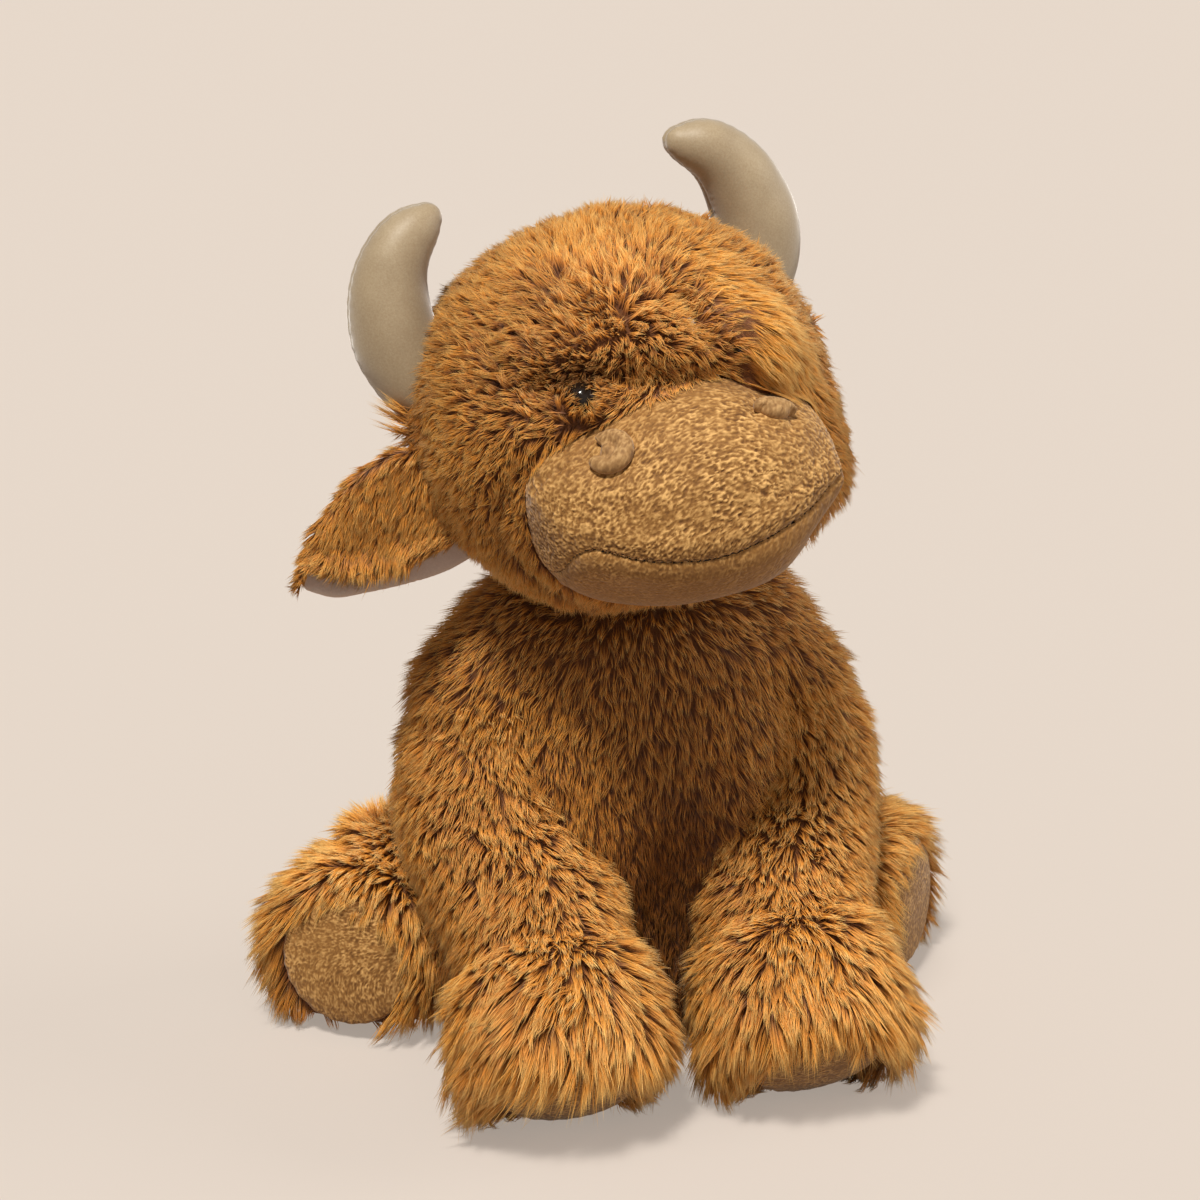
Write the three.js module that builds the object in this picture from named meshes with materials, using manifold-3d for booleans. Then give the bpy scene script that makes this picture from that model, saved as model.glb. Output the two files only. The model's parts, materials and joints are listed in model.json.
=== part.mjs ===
// A seated plush cow with stuffed horns, floppy ears and jointed limbs.
// Millimetres, +Z up, facing -Y, origin at the middle of the seat on the floor.
// Left and right are the cow's own: its left side is +X.

import * as THREE from 'three';
import { mergeVertices } from 'three/addons/utils/BufferGeometryUtils.js';
import Module from 'manifold-3d';

const wasm = await Module();
wasm.setup();

// Driving dimensions shared by all pieces
const clearance = 0.3;
const skinThickness = 3;
const overrun = 6;
const restCut = 0.5;
const sweepStepDegrees = 20;
const sweepMargin = 2.8;

// Facets of the round forms: counts around and along, for outer faces, inner faces and limbs
const fine = [22, 14];
const coarse = [14, 9];
const ballFacets = 12;
const innerBallFacets = 8;
const neckFacets = 16;
const ballRowShare = 2 / 3;
const boreFacets = 10;
const limbFacets = 12;
const limbCore = [8, 6];
const bentTubeRows = 8;
const straightTubeRows = 4;
const footRows = 6;
const hornFacets = [14, 12];
const threadFacets = [5, 20];
const rollFacets = [8, 10];
const nearlyParallelShare = 0.9;
const boreRoundnessShare = 0.95;

// Torso
const torsoWidth = 146;
const torsoDepth = 114;
const torsoHeight = 172;
const torsoBottomExponent = 4;
const torsoTopExponent = 3;
const torsoTurnShare = 0.5;
const torsoWidthShares = [[0, 1], [0.2, 1.05], [0.5, 0.97], [0.75, 0.86], [0.9, 0.95], [1, 1]];
const torsoDepthShares = [[0, 1], [0.25, 1.04], [0.5, 0.95], [0.75, 0.76], [0.9, 0.74], [1, 0.74]];
const torsoLeanShares = [[0, 0], [0.5, -0.05], [1, -0.28]];
const seatWidth = 92;
const seatDepth = 76;
const pouchWidth = 78;
const pouchDepth = 66;
const pouchHeight = 26;
const pouchExponent = 2.4;

// Neck, whose ball is the centre of every motion of the head
const neckBallRadius = 17;
const neckWrapThickness = 3;
const neckWrapOpeningRadius = 9;
const neckPlaceShares = [-0.07, -0.28, 0.977];

// Head, in its own frame: x to the cow's left, -y forward, z up
const headWidth = 134;
const headDepth = 124;
const headHeight = 125;
const headExponent = 2.1;
const headLift = 66;
const headForward = 14;
const headAside = -4.5;
const headRollDegrees = -12.5;
const headPitchDegrees = -8;
const headYawDegrees = 4;
const headTurnDegrees = [-25, 25];
const headNodDegrees = [-10, 15];
const headTiltDegrees = [-12, 12];

// Muzzle
const muzzleWidth = 101;
const muzzleDepth = 84;
const muzzleHeight = 72;
const muzzleExponent = 2.25;
const muzzlePlaceShares = [0, -0.72, -0.32];
const mouthSpanShare = 0.86;
const mouthDropShare = 0.46;
const mouthRiseShare = 0.16;
const mouthSteps = 14;
const threadRadius = 0.6;
const threadRadiusShares = [[0, 1], [1, 1]];
const nostrilRadius = 5.6;
const nostrilRollRadius = 2.5;
const nostrilRollShares = [[0, 0.7], [0.12, 1], [0.88, 1], [1, 0.7]];
const nostrilProudShare = 0.35;
const nostrilArcDegrees = 265;
const nostrilPlaceShares = [0.54, 0.68];
const nostrilTurnDegrees = 25;

// Eyes
const eyeRadius = 5.5;
const eyeShankRadius = 2;
const eyeShankLength = 9;
const eyeProudShare = 0.45;
const eyeOutShare = 0.4;
const eyeAboveMuzzle = 2.75;
const washerRadius = 7;
const washerThickness = 1.6;
const washerGap = 0.4;

// Horns
const hornRootRadius = 14.5;
const hornSpread = 128;
const hornHeight = 56;
const hornRootHeight = 22;
const hornTipShare = 0.2;
const hornRadiusShares = [[0, 1], [0.3, 1.02], [0.55, 0.93], [0.8, 0.72], [0.92, 0.54], [1, 0.26]];
const hornPathShares = [[0.76, 0.27, -0.14], [0.93, 0.25, 0.12], [1, 0.24, 0.38], [0.96, 0.22, 0.66],
  [0.85, 0.2, 0.86], [0.65, 0.18, 1]];

// Ears: a furry outer leaf over a smooth lining, hinged along the root.
// Angles are given for the left and then the right.
const earLength = 56;
const earRootWidth = 42;
const earThickness = 8;
const liningThickness = 2.6;
const earExponent = 2.5;
const earHubRadius = 4.4;
const earPlaceShares = [0.96, 0.08, -0.16];
const earDroopDegrees = 14;
const earOutlineShares = [[0, 0.42, -0.54], [0.2, 0.5, -0.54], [0.45, 0.44, -0.47], [0.7, 0.28, -0.36],
  [0.88, 0.12, -0.26], [0.97, 0.05, -0.18]];
const earTipShares = [1, -0.06];
const earTipCurlShare = 0.2;
const earRollShare = 0.8;
const earRestDegrees = [84, 8];
const earFlapDegrees = [[-70, 5], [-30, 40]];

// Legs. Places are shares of the torso's half width, half depth and height, and soles face
// along shares of the three axes. What differs from side to side is given for the left and then the right.
const frontLegRadius = 26;
const frontBallRadius = 22;
const frontFootRadius = 31;
const frontFootLength = 50;
const frontFootHeight = 19.5;
const frontSoleRadius = 21.5;
const frontShoulderShares = [0.66, -0.18, 0.735];
const frontPathShares = [[0.73, -0.32, 0.53], [0.58, -0.84, 0.34]];
const frontFootShares = [0.59, -1.58];
const frontSoleShares = [0.05, -0.75, -0.66];
const frontLiftDegrees = [0, 40];

const hindLegRadius = 26;
const hindBallRadius = 22;
const hindFootRadius = 31;
const hindFootLength = 50;
const hindFootHeight = 30.5;
const hindSoleRadius = 24;
const hindHipShares = [0.66, 0.42, 0.21];
const hindFootShares = [[1.42, -0.02], [-1.37, 0]];
const hindSoleShares = [[0.8, -0.6, 0.04], [-0.5, -0.86, 0.06]];
const hindLiftDegrees = [0, 28];

const legRadiusShares = [[0, 0.84], [0.2, 1], [0.7, 1], [1, 0.96]];
const footRadiusShares = [[0, 0.62], [0.22, 0.93], [0.55, 1.03], [0.88, 1], [1, 0.84]];

const soleEdge = 2;
const soleCrown = 4.5;
const crownRows = 4;

// Tail
const tailRadius = 6;
const tailBallRadius = 6;
const tailTuftRadius = 10;
const tailRootShares = [0, 0.97, 0.3];
const tailPathShares = [[0, 1.3, 0.22], [0, 1.5, 0.1]];
const tuftPathShares = [[0, 1.63, 0.075], [0.02, 1.85, 0.065]];
const tailRadiusShares = [[0, 1], [1, 1]];
const tuftRadiusShares = [[0, 0.62], [0.3, 1], [0.7, 0.85], [1, 0.3]];
const tailSwayDegrees = [-25, 25];

// Materials
const cloth = (color, roughness) => new THREE.MeshStandardMaterial({ color, roughness, metalness: 0 });
const longPile = cloth(0xb4702c, 0.9);
const shortPile = cloth(0xcda069, 0.85);
const ivoryCloth = cloth(0xefe7d2, 0.6);
const liningCloth = cloth(0xa58c82, 0.6);
const wadding = cloth(0xe8e6e0, 1);
const pouchCloth = cloth(0xcfc8b8, 0.9);
const threadYarn = cloth(0x7a4c22, 0.8);
const blackGloss = new THREE.MeshStandardMaterial({ color: 0x0b0a0a, roughness: 0.15, metalness: 0 });
const whitePlastic = new THREE.MeshStandardMaterial({ color: 0xdadada, roughness: 0.5, metalness: 0 });

const xAxis = new THREE.Vector3(1, 0, 0);
const yAxis = new THREE.Vector3(0, 1, 0);
const zAxis = new THREE.Vector3(0, 0, 1);
const fullTurnDegrees = 360;
const quarterTurnDegrees = 90;
const sides = ['left', 'right'];
const signOf = (side) => (side === 'left' ? 1 : -1);

// Values between rows of [station, value], on a smooth curve through them
function follow(rows, station) {
  const last = rows.length - 1;
  let row = 0;
  while (row < last - 1 && station > rows[row + 1][0]) row += 1;
  const slope = (i) => {
    const before = rows[Math.max(i - 1, 0)];
    const after = rows[Math.min(i + 1, last)];
    return (after[1] - before[1]) / (after[0] - before[0]);
  };
  const [start, low] = rows[row];
  const [end, high] = rows[row + 1];
  const span = end - start;
  const u = Math.min(Math.max((station - start) / span, 0), 1);
  const u2 = u * u;
  const u3 = u2 * u;
  return (2 * u3 - 3 * u2 + 1) * low + (u3 - 2 * u2 + u) * span * slope(row)
    + (3 * u2 - 2 * u3) * high + (u3 - u2) * span * slope(row + 1);
}

// Solids from geometry and back
function solidOf(geometry) {
  const bare = geometry.clone();
  bare.deleteAttribute('normal');
  bare.deleteAttribute('uv');
  const merged = mergeVertices(bare, 1e-5);
  return new wasm.Manifold(new wasm.Mesh({
    numProp: 3,
    vertProperties: new Float32Array(merged.attributes.position.array),
    triVerts: new Uint32Array(merged.index.array),
  }));
}

function geometryOf(solid) {
  const mesh = solid.getMesh();
  const geometry = new THREE.BufferGeometry();
  geometry.setAttribute('position', new THREE.BufferAttribute(mesh.vertProperties, mesh.numProp));
  geometry.setIndex(new THREE.BufferAttribute(mesh.triVerts, 1));
  geometry.computeVertexNormals();
  return geometry;
}

// The closed surface over a stack of rings between two end points
function closedSurface(rings, startPole, endPole) {
  const count = rings[0].length;
  const points = [startPole, ...rings.flat(), endPole];
  const ringPoint = (ring, j) => 1 + ring * count + (j % count);
  const faces = [];
  for (let j = 0; j < count; j += 1) {
    faces.push(0, ringPoint(0, j + 1), ringPoint(0, j));
    faces.push(points.length - 1, ringPoint(rings.length - 1, j), ringPoint(rings.length - 1, j + 1));
    for (let ring = 0; ring + 1 < rings.length; ring += 1) {
      const [a, b] = [ringPoint(ring, j), ringPoint(ring, j + 1)];
      const [c, d] = [ringPoint(ring + 1, j + 1), ringPoint(ring + 1, j)];
      faces.push(a, b, c, a, c, d);
    }
  }
  let volume = 0;
  for (let i = 0; i < faces.length; i += 3) {
    const [a, b, c] = faces.slice(i, i + 3).map((index) => points[index]);
    volume += a.dot(b.clone().cross(c));
  }
  if (volume < 0) faces.reverse();
  const geometry = new THREE.BufferGeometry();
  const numbers = points.flatMap((point) => point.toArray());
  geometry.setAttribute('position', new THREE.Float32BufferAttribute(numbers, 3));
  geometry.setIndex(faces);
  return geometry;
}

const roundShare = (station, exponent) => (1 - Math.abs(2 * station - 1) ** exponent) ** (1 / exponent);

// The point at an angle on an oval whose corners fill out as the exponent rises above 2
function ovalPoint(angle, exponent) {
  const c = Math.cos(angle);
  const s = Math.sin(angle);
  const reach = (Math.abs(c) ** exponent + Math.abs(s) ** exponent) ** (-1 / exponent);
  return [c * reach, s * reach];
}

function torsoForm(grow, [around, rows]) {
  const [halfWidth, halfDepth] = [torsoWidth / 2 + grow, torsoDepth / 2 + grow];
  const height = torsoHeight + 2 * grow;
  const rings = [];
  for (let i = 1; i < rows; i += 1) {
    const station = (1 - Math.cos((Math.PI * i) / rows)) / 2;
    const round = roundShare(station, station < torsoTurnShare ? torsoBottomExponent : torsoTopExponent);
    const lean = (torsoDepth / 2) * follow(torsoLeanShares, station);
    const ring = [];
    for (let j = 0; j < around; j += 1) {
      const angle = (2 * Math.PI * j) / around;
      ring.push(new THREE.Vector3(
        halfWidth * follow(torsoWidthShares, station) * round * Math.cos(angle),
        lean + halfDepth * follow(torsoDepthShares, station) * round * Math.sin(angle),
        station * height - restCut - grow,
      ));
    }
    rings.push(ring);
  }
  const topLean = (torsoDepth / 2) * follow(torsoLeanShares, 1);
  return closedSurface(
    rings,
    new THREE.Vector3(0, 0, -restCut - grow),
    new THREE.Vector3(0, topLean, height - restCut - grow),
  );
}

// An oval body of three sizes about a centre, with its poles on x
function roundForm(centre, sizes, exponent, around, rows) {
  const rings = [];
  for (let i = 1; i < rows; i += 1) {
    const turn = (Math.PI * i) / rows;
    const [along, out] = ovalPoint(turn, exponent);
    const ring = [];
    for (let j = 0; j < around; j += 1) {
      const [a, b] = ovalPoint((2 * Math.PI * j) / around, exponent);
      ring.push(new THREE.Vector3(
        centre.x - (along * sizes[0]) / 2,
        centre.y + (out * a * sizes[1]) / 2,
        centre.z + (out * b * sizes[2]) / 2,
      ));
    }
    rings.push(ring);
  }
  const pole = (direction) => new THREE.Vector3(centre.x + (direction * sizes[0]) / 2, centre.y, centre.z);
  return closedSurface(rings, pole(-1), pole(1));
}

// A limb along a path: its radius follows the rows of shares, and its ends close flat
function limbForm(path, radius, radiusShares, grow, around, rows, endReach = 0) {
  const curve = new THREE.CatmullRomCurve3(path, false, 'centripetal');
  const rings = [];
  let side = null;
  for (let i = 0; i <= rows; i += 1) {
    const station = i / rows;
    const tangent = curve.getTangentAt(station);
    if (side === null) side = Math.abs(tangent.x) < nearlyParallelShare ? xAxis : yAxis;
    side = side.clone().addScaledVector(tangent, -side.dot(tangent)).normalize();
    const other = new THREE.Vector3().crossVectors(tangent, side);
    const reach = radius * follow(radiusShares, station) + grow;
    const centre = curve.getPointAt(station);
    if (i === rows) centre.addScaledVector(tangent, endReach);
    const ring = [];
    for (let j = 0; j < around; j += 1) {
      const angle = (2 * Math.PI * j) / around;
      ring.push(centre.clone()
        .addScaledVector(side, reach * Math.cos(angle))
        .addScaledVector(other, reach * Math.sin(angle)));
    }
    rings.push(ring);
  }
  const endPole = path[path.length - 1].clone().addScaledVector(curve.getTangentAt(1), endReach);
  return closedSurface(rings, path[0].clone(), endPole);
}

const ballRows = (facets) => Math.round(facets * ballRowShare);

function ball(centre, radius, facets = ballFacets) {
  const sphere = new THREE.SphereGeometry(radius, facets, ballRows(facets));
  return sphere.translate(centre.x, centre.y, centre.z);
}

// A faceted hollow that clears a ball at any turn
function socket(centre, ballRadius, facets = ballFacets) {
  const flatness = Math.cos(Math.PI / facets) * Math.cos(Math.PI / (2 * ballRows(facets)));
  return ball(centre, (ballRadius + clearance) / flatness, facets);
}

const innerSocket = (centre, ballRadius) => socket(centre, ballRadius, innerBallFacets);

// A geometry turned by an angle about an axis through a point
function turned(geometry, pivot, axis, degrees) {
  const matrix = new THREE.Matrix4().makeTranslation(pivot.x, pivot.y, pivot.z)
    .multiply(new THREE.Matrix4().makeRotationAxis(axis, THREE.MathUtils.degToRad(degrees)))
    .multiply(new THREE.Matrix4().makeTranslation(-pivot.x, -pivot.y, -pivot.z));
  return geometry.clone().applyMatrix4(matrix);
}

// Takes from a piece all that its carrier would reach as the piece turns through its range
function cutBySweep(piece, carrier, pivot, axis, [from, to]) {
  const steps = Math.ceil((to - from) / sweepStepDegrees);
  let result = piece;
  for (let i = 0; i <= steps; i += 1) {
    const degrees = from + ((to - from) * i) / steps;
    result = result.subtract(solidOf(turned(carrier, pivot, axis, -degrees)));
  }
  return result;
}

// The largest of the separate bodies that a cut leaves
function mainBody(solid) {
  const bodies = solid.decompose();
  bodies.sort((a, b) => b.volume() - a.volume());
  return bodies[0];
}

const torsoPlace = (shares) => new THREE.Vector3(
  (shares[0] * torsoWidth) / 2,
  (shares[1] * torsoDepth) / 2,
  shares[2] * torsoHeight,
);

const floorSize = 4 * torsoHeight;
const floorBlock = new THREE.BoxGeometry(floorSize, floorSize, floorSize);
const blockBelow = (height) => solidOf(floorBlock.clone().translate(0, 0, height - floorSize / 2));
const belowFloor = blockBelow(0);

const cow = new THREE.Group();

function place(parent, name, solid, material) {
  const mesh = new THREE.Mesh(geometryOf(solid), material);
  mesh.name = name;
  parent.add(mesh);
}

// Where the moving pieces pivot
const neck = torsoPlace(neckPlaceShares);
const neckSocketRadius = neckBallRadius + clearance + neckWrapThickness;
const headCentre = neck.clone().add(new THREE.Vector3(headAside, -headForward, headLift));
const headGroup = new THREE.Group();
headGroup.position.copy(headCentre);
const headMatrix = new THREE.Matrix4()
  .makeRotationZ(THREE.MathUtils.degToRad(headYawDegrees))
  .multiply(new THREE.Matrix4().makeRotationX(THREE.MathUtils.degToRad(headPitchDegrees)))
  .multiply(new THREE.Matrix4().makeRotationY(THREE.MathUtils.degToRad(headRollDegrees)));
headGroup.quaternion.setFromRotationMatrix(headMatrix);
headGroup.updateMatrixWorld(true);
cow.add(headGroup);
const headSizes = [headWidth, headDepth, headHeight];
const headPlace = (shares) => new THREE.Vector3(
  (shares[0] * headWidth) / 2,
  (shares[1] * headDepth) / 2,
  (shares[2] * headHeight) / 2,
);
const grownSizes = (sizes, grow) => sizes.map((size) => size + 2 * grow);
const origin = new THREE.Vector3(0, 0, 0);
const headForm = (grow, [around, rows] = fine) => (
  roundForm(origin, grownSizes(headSizes, grow), headExponent, around, rows));

// Legs: a ball in a socket of the torso, a skin tube, its filling and a padded sole
const legs = [];
for (const [index, side] of sides.entries()) {
  const sign = signOf(side);
  const mirrored = (shares) => [shares[0] * sign, shares[1], shares[2]];
  const frontEnd = torsoPlace([frontFootShares[0] * sign, frontFootShares[1], 0]).setZ(frontFootHeight);
  const frontDirection = new THREE.Vector3(...mirrored(frontSoleShares)).normalize();
  legs.push({
    name: `front_leg_${side}`,
    pivot: torsoPlace(mirrored(frontShoulderShares)),
    axis: xAxis.clone().negate(),
    range: frontLiftDegrees,
    middle: frontPathShares.map((shares) => torsoPlace(mirrored(shares))),
    end: frontEnd,
    direction: frontDirection,
    ballRadius: frontBallRadius,
    radius: frontLegRadius,
    footRadius: frontFootRadius,
    footLength: frontFootLength,
    soleRadius: frontSoleRadius,
  });
  const hindEnd = torsoPlace([...hindFootShares[index], 0]).setZ(hindFootHeight);
  const hip = torsoPlace(mirrored(hindHipShares));
  const outward = new THREE.Vector3(hindEnd.x - hip.x, hindEnd.y - hip.y, 0).normalize();
  legs.push({
    name: `hind_leg_${side}`,
    pivot: hip,
    axis: new THREE.Vector3().crossVectors(outward, zAxis),
    range: hindLiftDegrees,
    middle: [],
    end: hindEnd,
    direction: new THREE.Vector3(...hindSoleShares[index]).normalize(),
    ballRadius: hindBallRadius,
    radius: hindLegRadius,
    footRadius: hindFootRadius,
    footLength: hindFootLength,
    soleRadius: hindSoleRadius,
  });
}

const coarseTorso = torsoForm(clearance + sweepMargin, coarse);

// A leg's tube joined to the barrel of its foot, both grown by the same amount
function legForm(leg, grow, facets, thinning, endReach) {
  const tubeRows = leg.middle.length > 0 ? bentTubeRows : straightTubeRows;
  const footMiddle = leg.end.clone().addScaledVector(leg.direction, -leg.footLength / 2);
  const heel = leg.end.clone().addScaledVector(leg.direction, -leg.footLength - grow);
  const tubePath = [leg.pivot, ...leg.middle, footMiddle];
  const tube = limbForm(tubePath, leg.radius, legRadiusShares, grow, facets, tubeRows / thinning);
  const footPath = [heel, leg.end];
  const rows = footRows / thinning;
  const foot = limbForm(footPath, leg.footRadius, footRadiusShares, grow, facets, rows, endReach);
  return solidOf(tube).add(solidOf(foot));
}

for (const leg of legs) {
  const outer = legForm(leg, 0, limbFacets, 1, 0);
  const hub = solidOf(ball(leg.pivot, leg.ballRadius));
  const [coreFacets] = limbCore;
  const cavity = legForm(leg, -skinThickness, coreFacets, 2, overrun);
  const beyondSole = floorBlock.clone().translate(0, 0, floorSize / 2)
    .applyQuaternion(new THREE.Quaternion().setFromUnitVectors(zAxis, leg.direction));
  const lastWad = leg.end.clone().addScaledVector(leg.direction, -clearance);
  const filling = legForm(leg, -skinThickness - 2 * clearance, coreFacets, 2, overrun)
    .subtract(solidOf(beyondSole.translate(lastWad.x, lastWad.y, lastWad.z)))
    .subtract(blockBelow(skinThickness + clearance));
  const freeOfTorso = (piece) => cutBySweep(piece, coarseTorso, leg.pivot, leg.axis, leg.range);
  const skinBody = mainBody(freeOfTorso(outer).add(hub).subtract(belowFloor));
  place(cow, `${leg.name}_skin`, mainBody(skinBody.subtract(cavity)), longPile);
  place(cow, `${leg.name}_stuffing`, mainBody(freeOfTorso(filling)), wadding);
  const profile = [new THREE.Vector2(0, 0), new THREE.Vector2(leg.soleRadius, 0)];
  for (let i = 0; i < crownRows; i += 1) {
    const angle = (i / crownRows) * (Math.PI / 2);
    const [out, rise] = [leg.soleRadius * Math.cos(angle), soleCrown * Math.sin(angle)];
    profile.push(new THREE.Vector2(out, soleEdge + rise));
  }
  profile.push(new THREE.Vector2(0, soleEdge + soleCrown));
  const sole = new THREE.LatheGeometry(profile, limbFacets);
  sole.applyQuaternion(new THREE.Quaternion().setFromUnitVectors(yAxis, leg.direction));
  const seat = leg.end.clone().addScaledVector(leg.direction, clearance);
  place(cow, `${leg.name}_sole`, solidOf(sole.translate(seat.x, seat.y, seat.z)), shortPile);
}

// Tail: a soft tube on a ball in the torso's back, and its tuft
const tailRoot = torsoPlace(tailRootShares);
const tailPath = [tailRoot, ...tailPathShares.map(torsoPlace)];
const tuftPath = tuftPathShares.map(torsoPlace);
const tailForm = solidOf(limbForm(tailPath, tailRadius, tailRadiusShares, 0, ...limbCore));
const tailTube = cutBySweep(tailForm, coarseTorso, tailRoot, zAxis, tailSwayDegrees);
const tail = mainBody(tailTube.add(solidOf(ball(tailRoot, tailBallRadius))));
const tailDirection = new THREE.CatmullRomCurve3(tailPath, false, 'centripetal').getTangentAt(1);
const tuftStart = tailPath[tailPath.length - 1].clone().addScaledVector(tailDirection, clearance);
const tuft = solidOf(limbForm([tuftStart, ...tuftPath], tailTuftRadius, tuftRadiusShares, 0, ...limbCore));
place(cow, 'tail', tail, longPile);
const tailRoom = limbForm(tailPath, tailRadius, tailRadiusShares, clearance, ...limbCore, clearance);
place(cow, 'tail_tuft', tuft.subtract(solidOf(tailRoom)), longPile);

// The room that the head's round form takes as the neck turns, nods and tilts it
const mostTilt = THREE.MathUtils.degToRad(Math.max(...headTiltDegrees));
const mostNod = THREE.MathUtils.degToRad(Math.max(...headNodDegrees));
const sideReach = headLift * Math.sin(mostTilt);
const nodReach = headLift * Math.sin(mostNod);
const headDip = headLift * (2 - Math.cos(mostNod) - Math.cos(mostTilt));
const headDrop = headForward * Math.sin(mostNod) + headDip + sweepMargin;
const headRoom = solidOf(roundForm(
  headCentre.clone().setZ(headCentre.z - headDrop),
  [headWidth + 2 * sideReach, headDepth + 2 * nodReach, headHeight + 2 * sweepMargin],
  headExponent,
  ...coarse,
));

// Torso: a skin with a seat panel below, filled with wadding over a pouch of pellets
const torsoJoints = [[neck, neckSocketRadius], [tailRoot, tailBallRadius]]
  .concat(legs.map((leg) => [leg.pivot, leg.ballRadius]));

const ovalPrism = (width, depth, height) => {
  const shape = new THREE.Shape().absellipse(0, 0, width / 2, depth / 2, 0, 2 * Math.PI);
  return new THREE.ExtrudeGeometry(shape, { depth: height, bevelEnabled: false, curveSegments: fine[0] });
};

function cutTorso(solid, socketForm) {
  let result = solid.subtract(headRoom).subtract(belowFloor);
  for (const [centre, radius] of torsoJoints) result = result.subtract(solidOf(socketForm(centre, radius)));
  return result;
}

const torsoOuter = solidOf(torsoForm(0, fine)).subtract(belowFloor);
const torsoCavity = solidOf(torsoForm(-skinThickness, coarse));
const seatOpening = solidOf(ovalPrism(seatWidth + 2 * clearance, seatDepth + 2 * clearance, 2 * overrun)
  .translate(0, 0, -overrun));
const seatReach = solidOf(ovalPrism(seatWidth, seatDepth, skinThickness));
const torsoSkin = mainBody(cutTorso(torsoOuter, socket).subtract(torsoCavity).subtract(seatOpening));
place(cow, 'torso_skin', torsoSkin, longPile);
place(cow, 'seat_panel', torsoOuter.intersect(seatReach), longPile);

const pouchFloor = skinThickness + clearance;
const pouchCentre = new THREE.Vector3(0, 0, pouchFloor + pouchHeight / 2);
const pouchSizes = [pouchWidth, pouchDepth, pouchHeight];
const pouchForm = (grow) => roundForm(pouchCentre, grownSizes(pouchSizes, grow), pouchExponent, ...coarse);
const [pocketWidth, pocketDepth, pocketHeight] = grownSizes(pouchSizes, clearance);
const pouchPocket = solidOf(ovalPrism(pocketWidth, pocketDepth, pocketHeight / 2 + overrun)
  .translate(0, 0, pouchFloor - overrun));
const torsoFilling = cutTorso(solidOf(torsoForm(-skinThickness - 2 * clearance, coarse)), innerSocket)
  .subtract(solidOf(pouchForm(2 * clearance)))
  .subtract(pouchPocket)
  .subtract(blockBelow(pouchFloor));
place(cow, 'torso_stuffing', mainBody(torsoFilling), wadding);
place(cow, 'pellet_pouch', solidOf(pouchForm(0)), pouchCloth);

// Neck: a stuffed ball in a wrap of gathered seam allowance, open above and below
const neckBall = solidOf(ball(neck, neckBallRadius, neckFacets));
const wrapBore = solidOf(new THREE.CylinderGeometry(
  neckWrapOpeningRadius,
  neckWrapOpeningRadius,
  4 * neckSocketRadius,
  boreFacets,
).rotateX(Math.PI / 2).translate(neck.x, neck.y, neck.z));
const neckWrap = solidOf(ball(neck, neckSocketRadius - clearance, neckFacets))
  .subtract(solidOf(socket(neck, neckBallRadius, neckFacets)))
  .subtract(wrapBore);
place(cow, 'neck_stuffing', neckBall, wadding);
place(cow, 'neck_gather', neckWrap, longPile);

// A point on the front of an oval body, from its shares of the half width and half height, with its normal
function frontPoint(centre, sizes, exponent, xShare, zShare) {
  const rest = 1 - Math.abs(xShare) ** exponent - Math.abs(zShare) ** exponent;
  const yShare = -(Math.max(rest, 0) ** (1 / exponent));
  const shares = [xShare, yShare, zShare];
  const slope = shares.map((share, i) => (Math.sign(share) * Math.abs(share) ** (exponent - 1)) / sizes[i]);
  return {
    point: new THREE.Vector3(...shares.map((share, i) => (share * sizes[i]) / 2)).add(centre),
    normal: new THREE.Vector3(...slope).normalize(),
  };
}

const boreAlong = (from, direction, radius, length) => {
  const bore = new THREE.CylinderGeometry(radius, radius, length, boreFacets);
  bore.applyQuaternion(new THREE.Quaternion().setFromUnitVectors(yAxis, direction));
  const middle = from.clone().addScaledVector(direction, length / 2);
  return solidOf(bore.translate(middle.x, middle.y, middle.z));
};

const headSurface = solidOf(headForm(0));
const aroundHead = solidOf(headForm(clearance));
const wideOfHead = solidOf(headForm(2 * clearance));
const neckInHead = headGroup.worldToLocal(neck.clone());
const neckRoom = solidOf(socket(neckInHead, neckSocketRadius));
let headSkin = headSurface.subtract(solidOf(headForm(-skinThickness, coarse))).subtract(neckRoom);
let headFilling = solidOf(headForm(-skinThickness - 2 * clearance, coarse))
  .subtract(solidOf(innerSocket(neckInHead, neckSocketRadius)));

// Muzzle: an upper panel and a lip panel over one filling, with the mouth thread along their seam
const muzzleCentre = headPlace(muzzlePlaceShares);
const muzzleSizes = [muzzleWidth, muzzleDepth, muzzleHeight];
const muzzleForm = (grow, facets) => (
  roundForm(muzzleCentre, grownSizes(muzzleSizes, grow), muzzleExponent, ...facets));
const mouthHeightShare = (xShare) => mouthRiseShare * (xShare / mouthSpanShare) ** 2 - mouthDropShare;

function belowMouth(shift) {
  const reach = muzzleWidth / 2 + overrun;
  const low = muzzleCentre.z - muzzleHeight;
  const shape = new THREE.Shape([new THREE.Vector2(reach, low), new THREE.Vector2(-reach, low)].reverse());
  for (let i = 0; i <= mouthSteps; i += 1) {
    const xShare = (1 - (2 * i) / mouthSteps) * (reach / (muzzleWidth / 2));
    const height = muzzleCentre.z + (mouthHeightShare(xShare) * muzzleHeight) / 2 + shift;
    shape.lineTo((xShare * muzzleWidth) / 2, height);
  }
  const block = new THREE.ExtrudeGeometry(shape, { depth: 2 * muzzleDepth, bevelEnabled: false });
  return solidOf(block.rotateX(Math.PI / 2).translate(0, muzzleCentre.y + muzzleDepth, 0));
}

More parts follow.
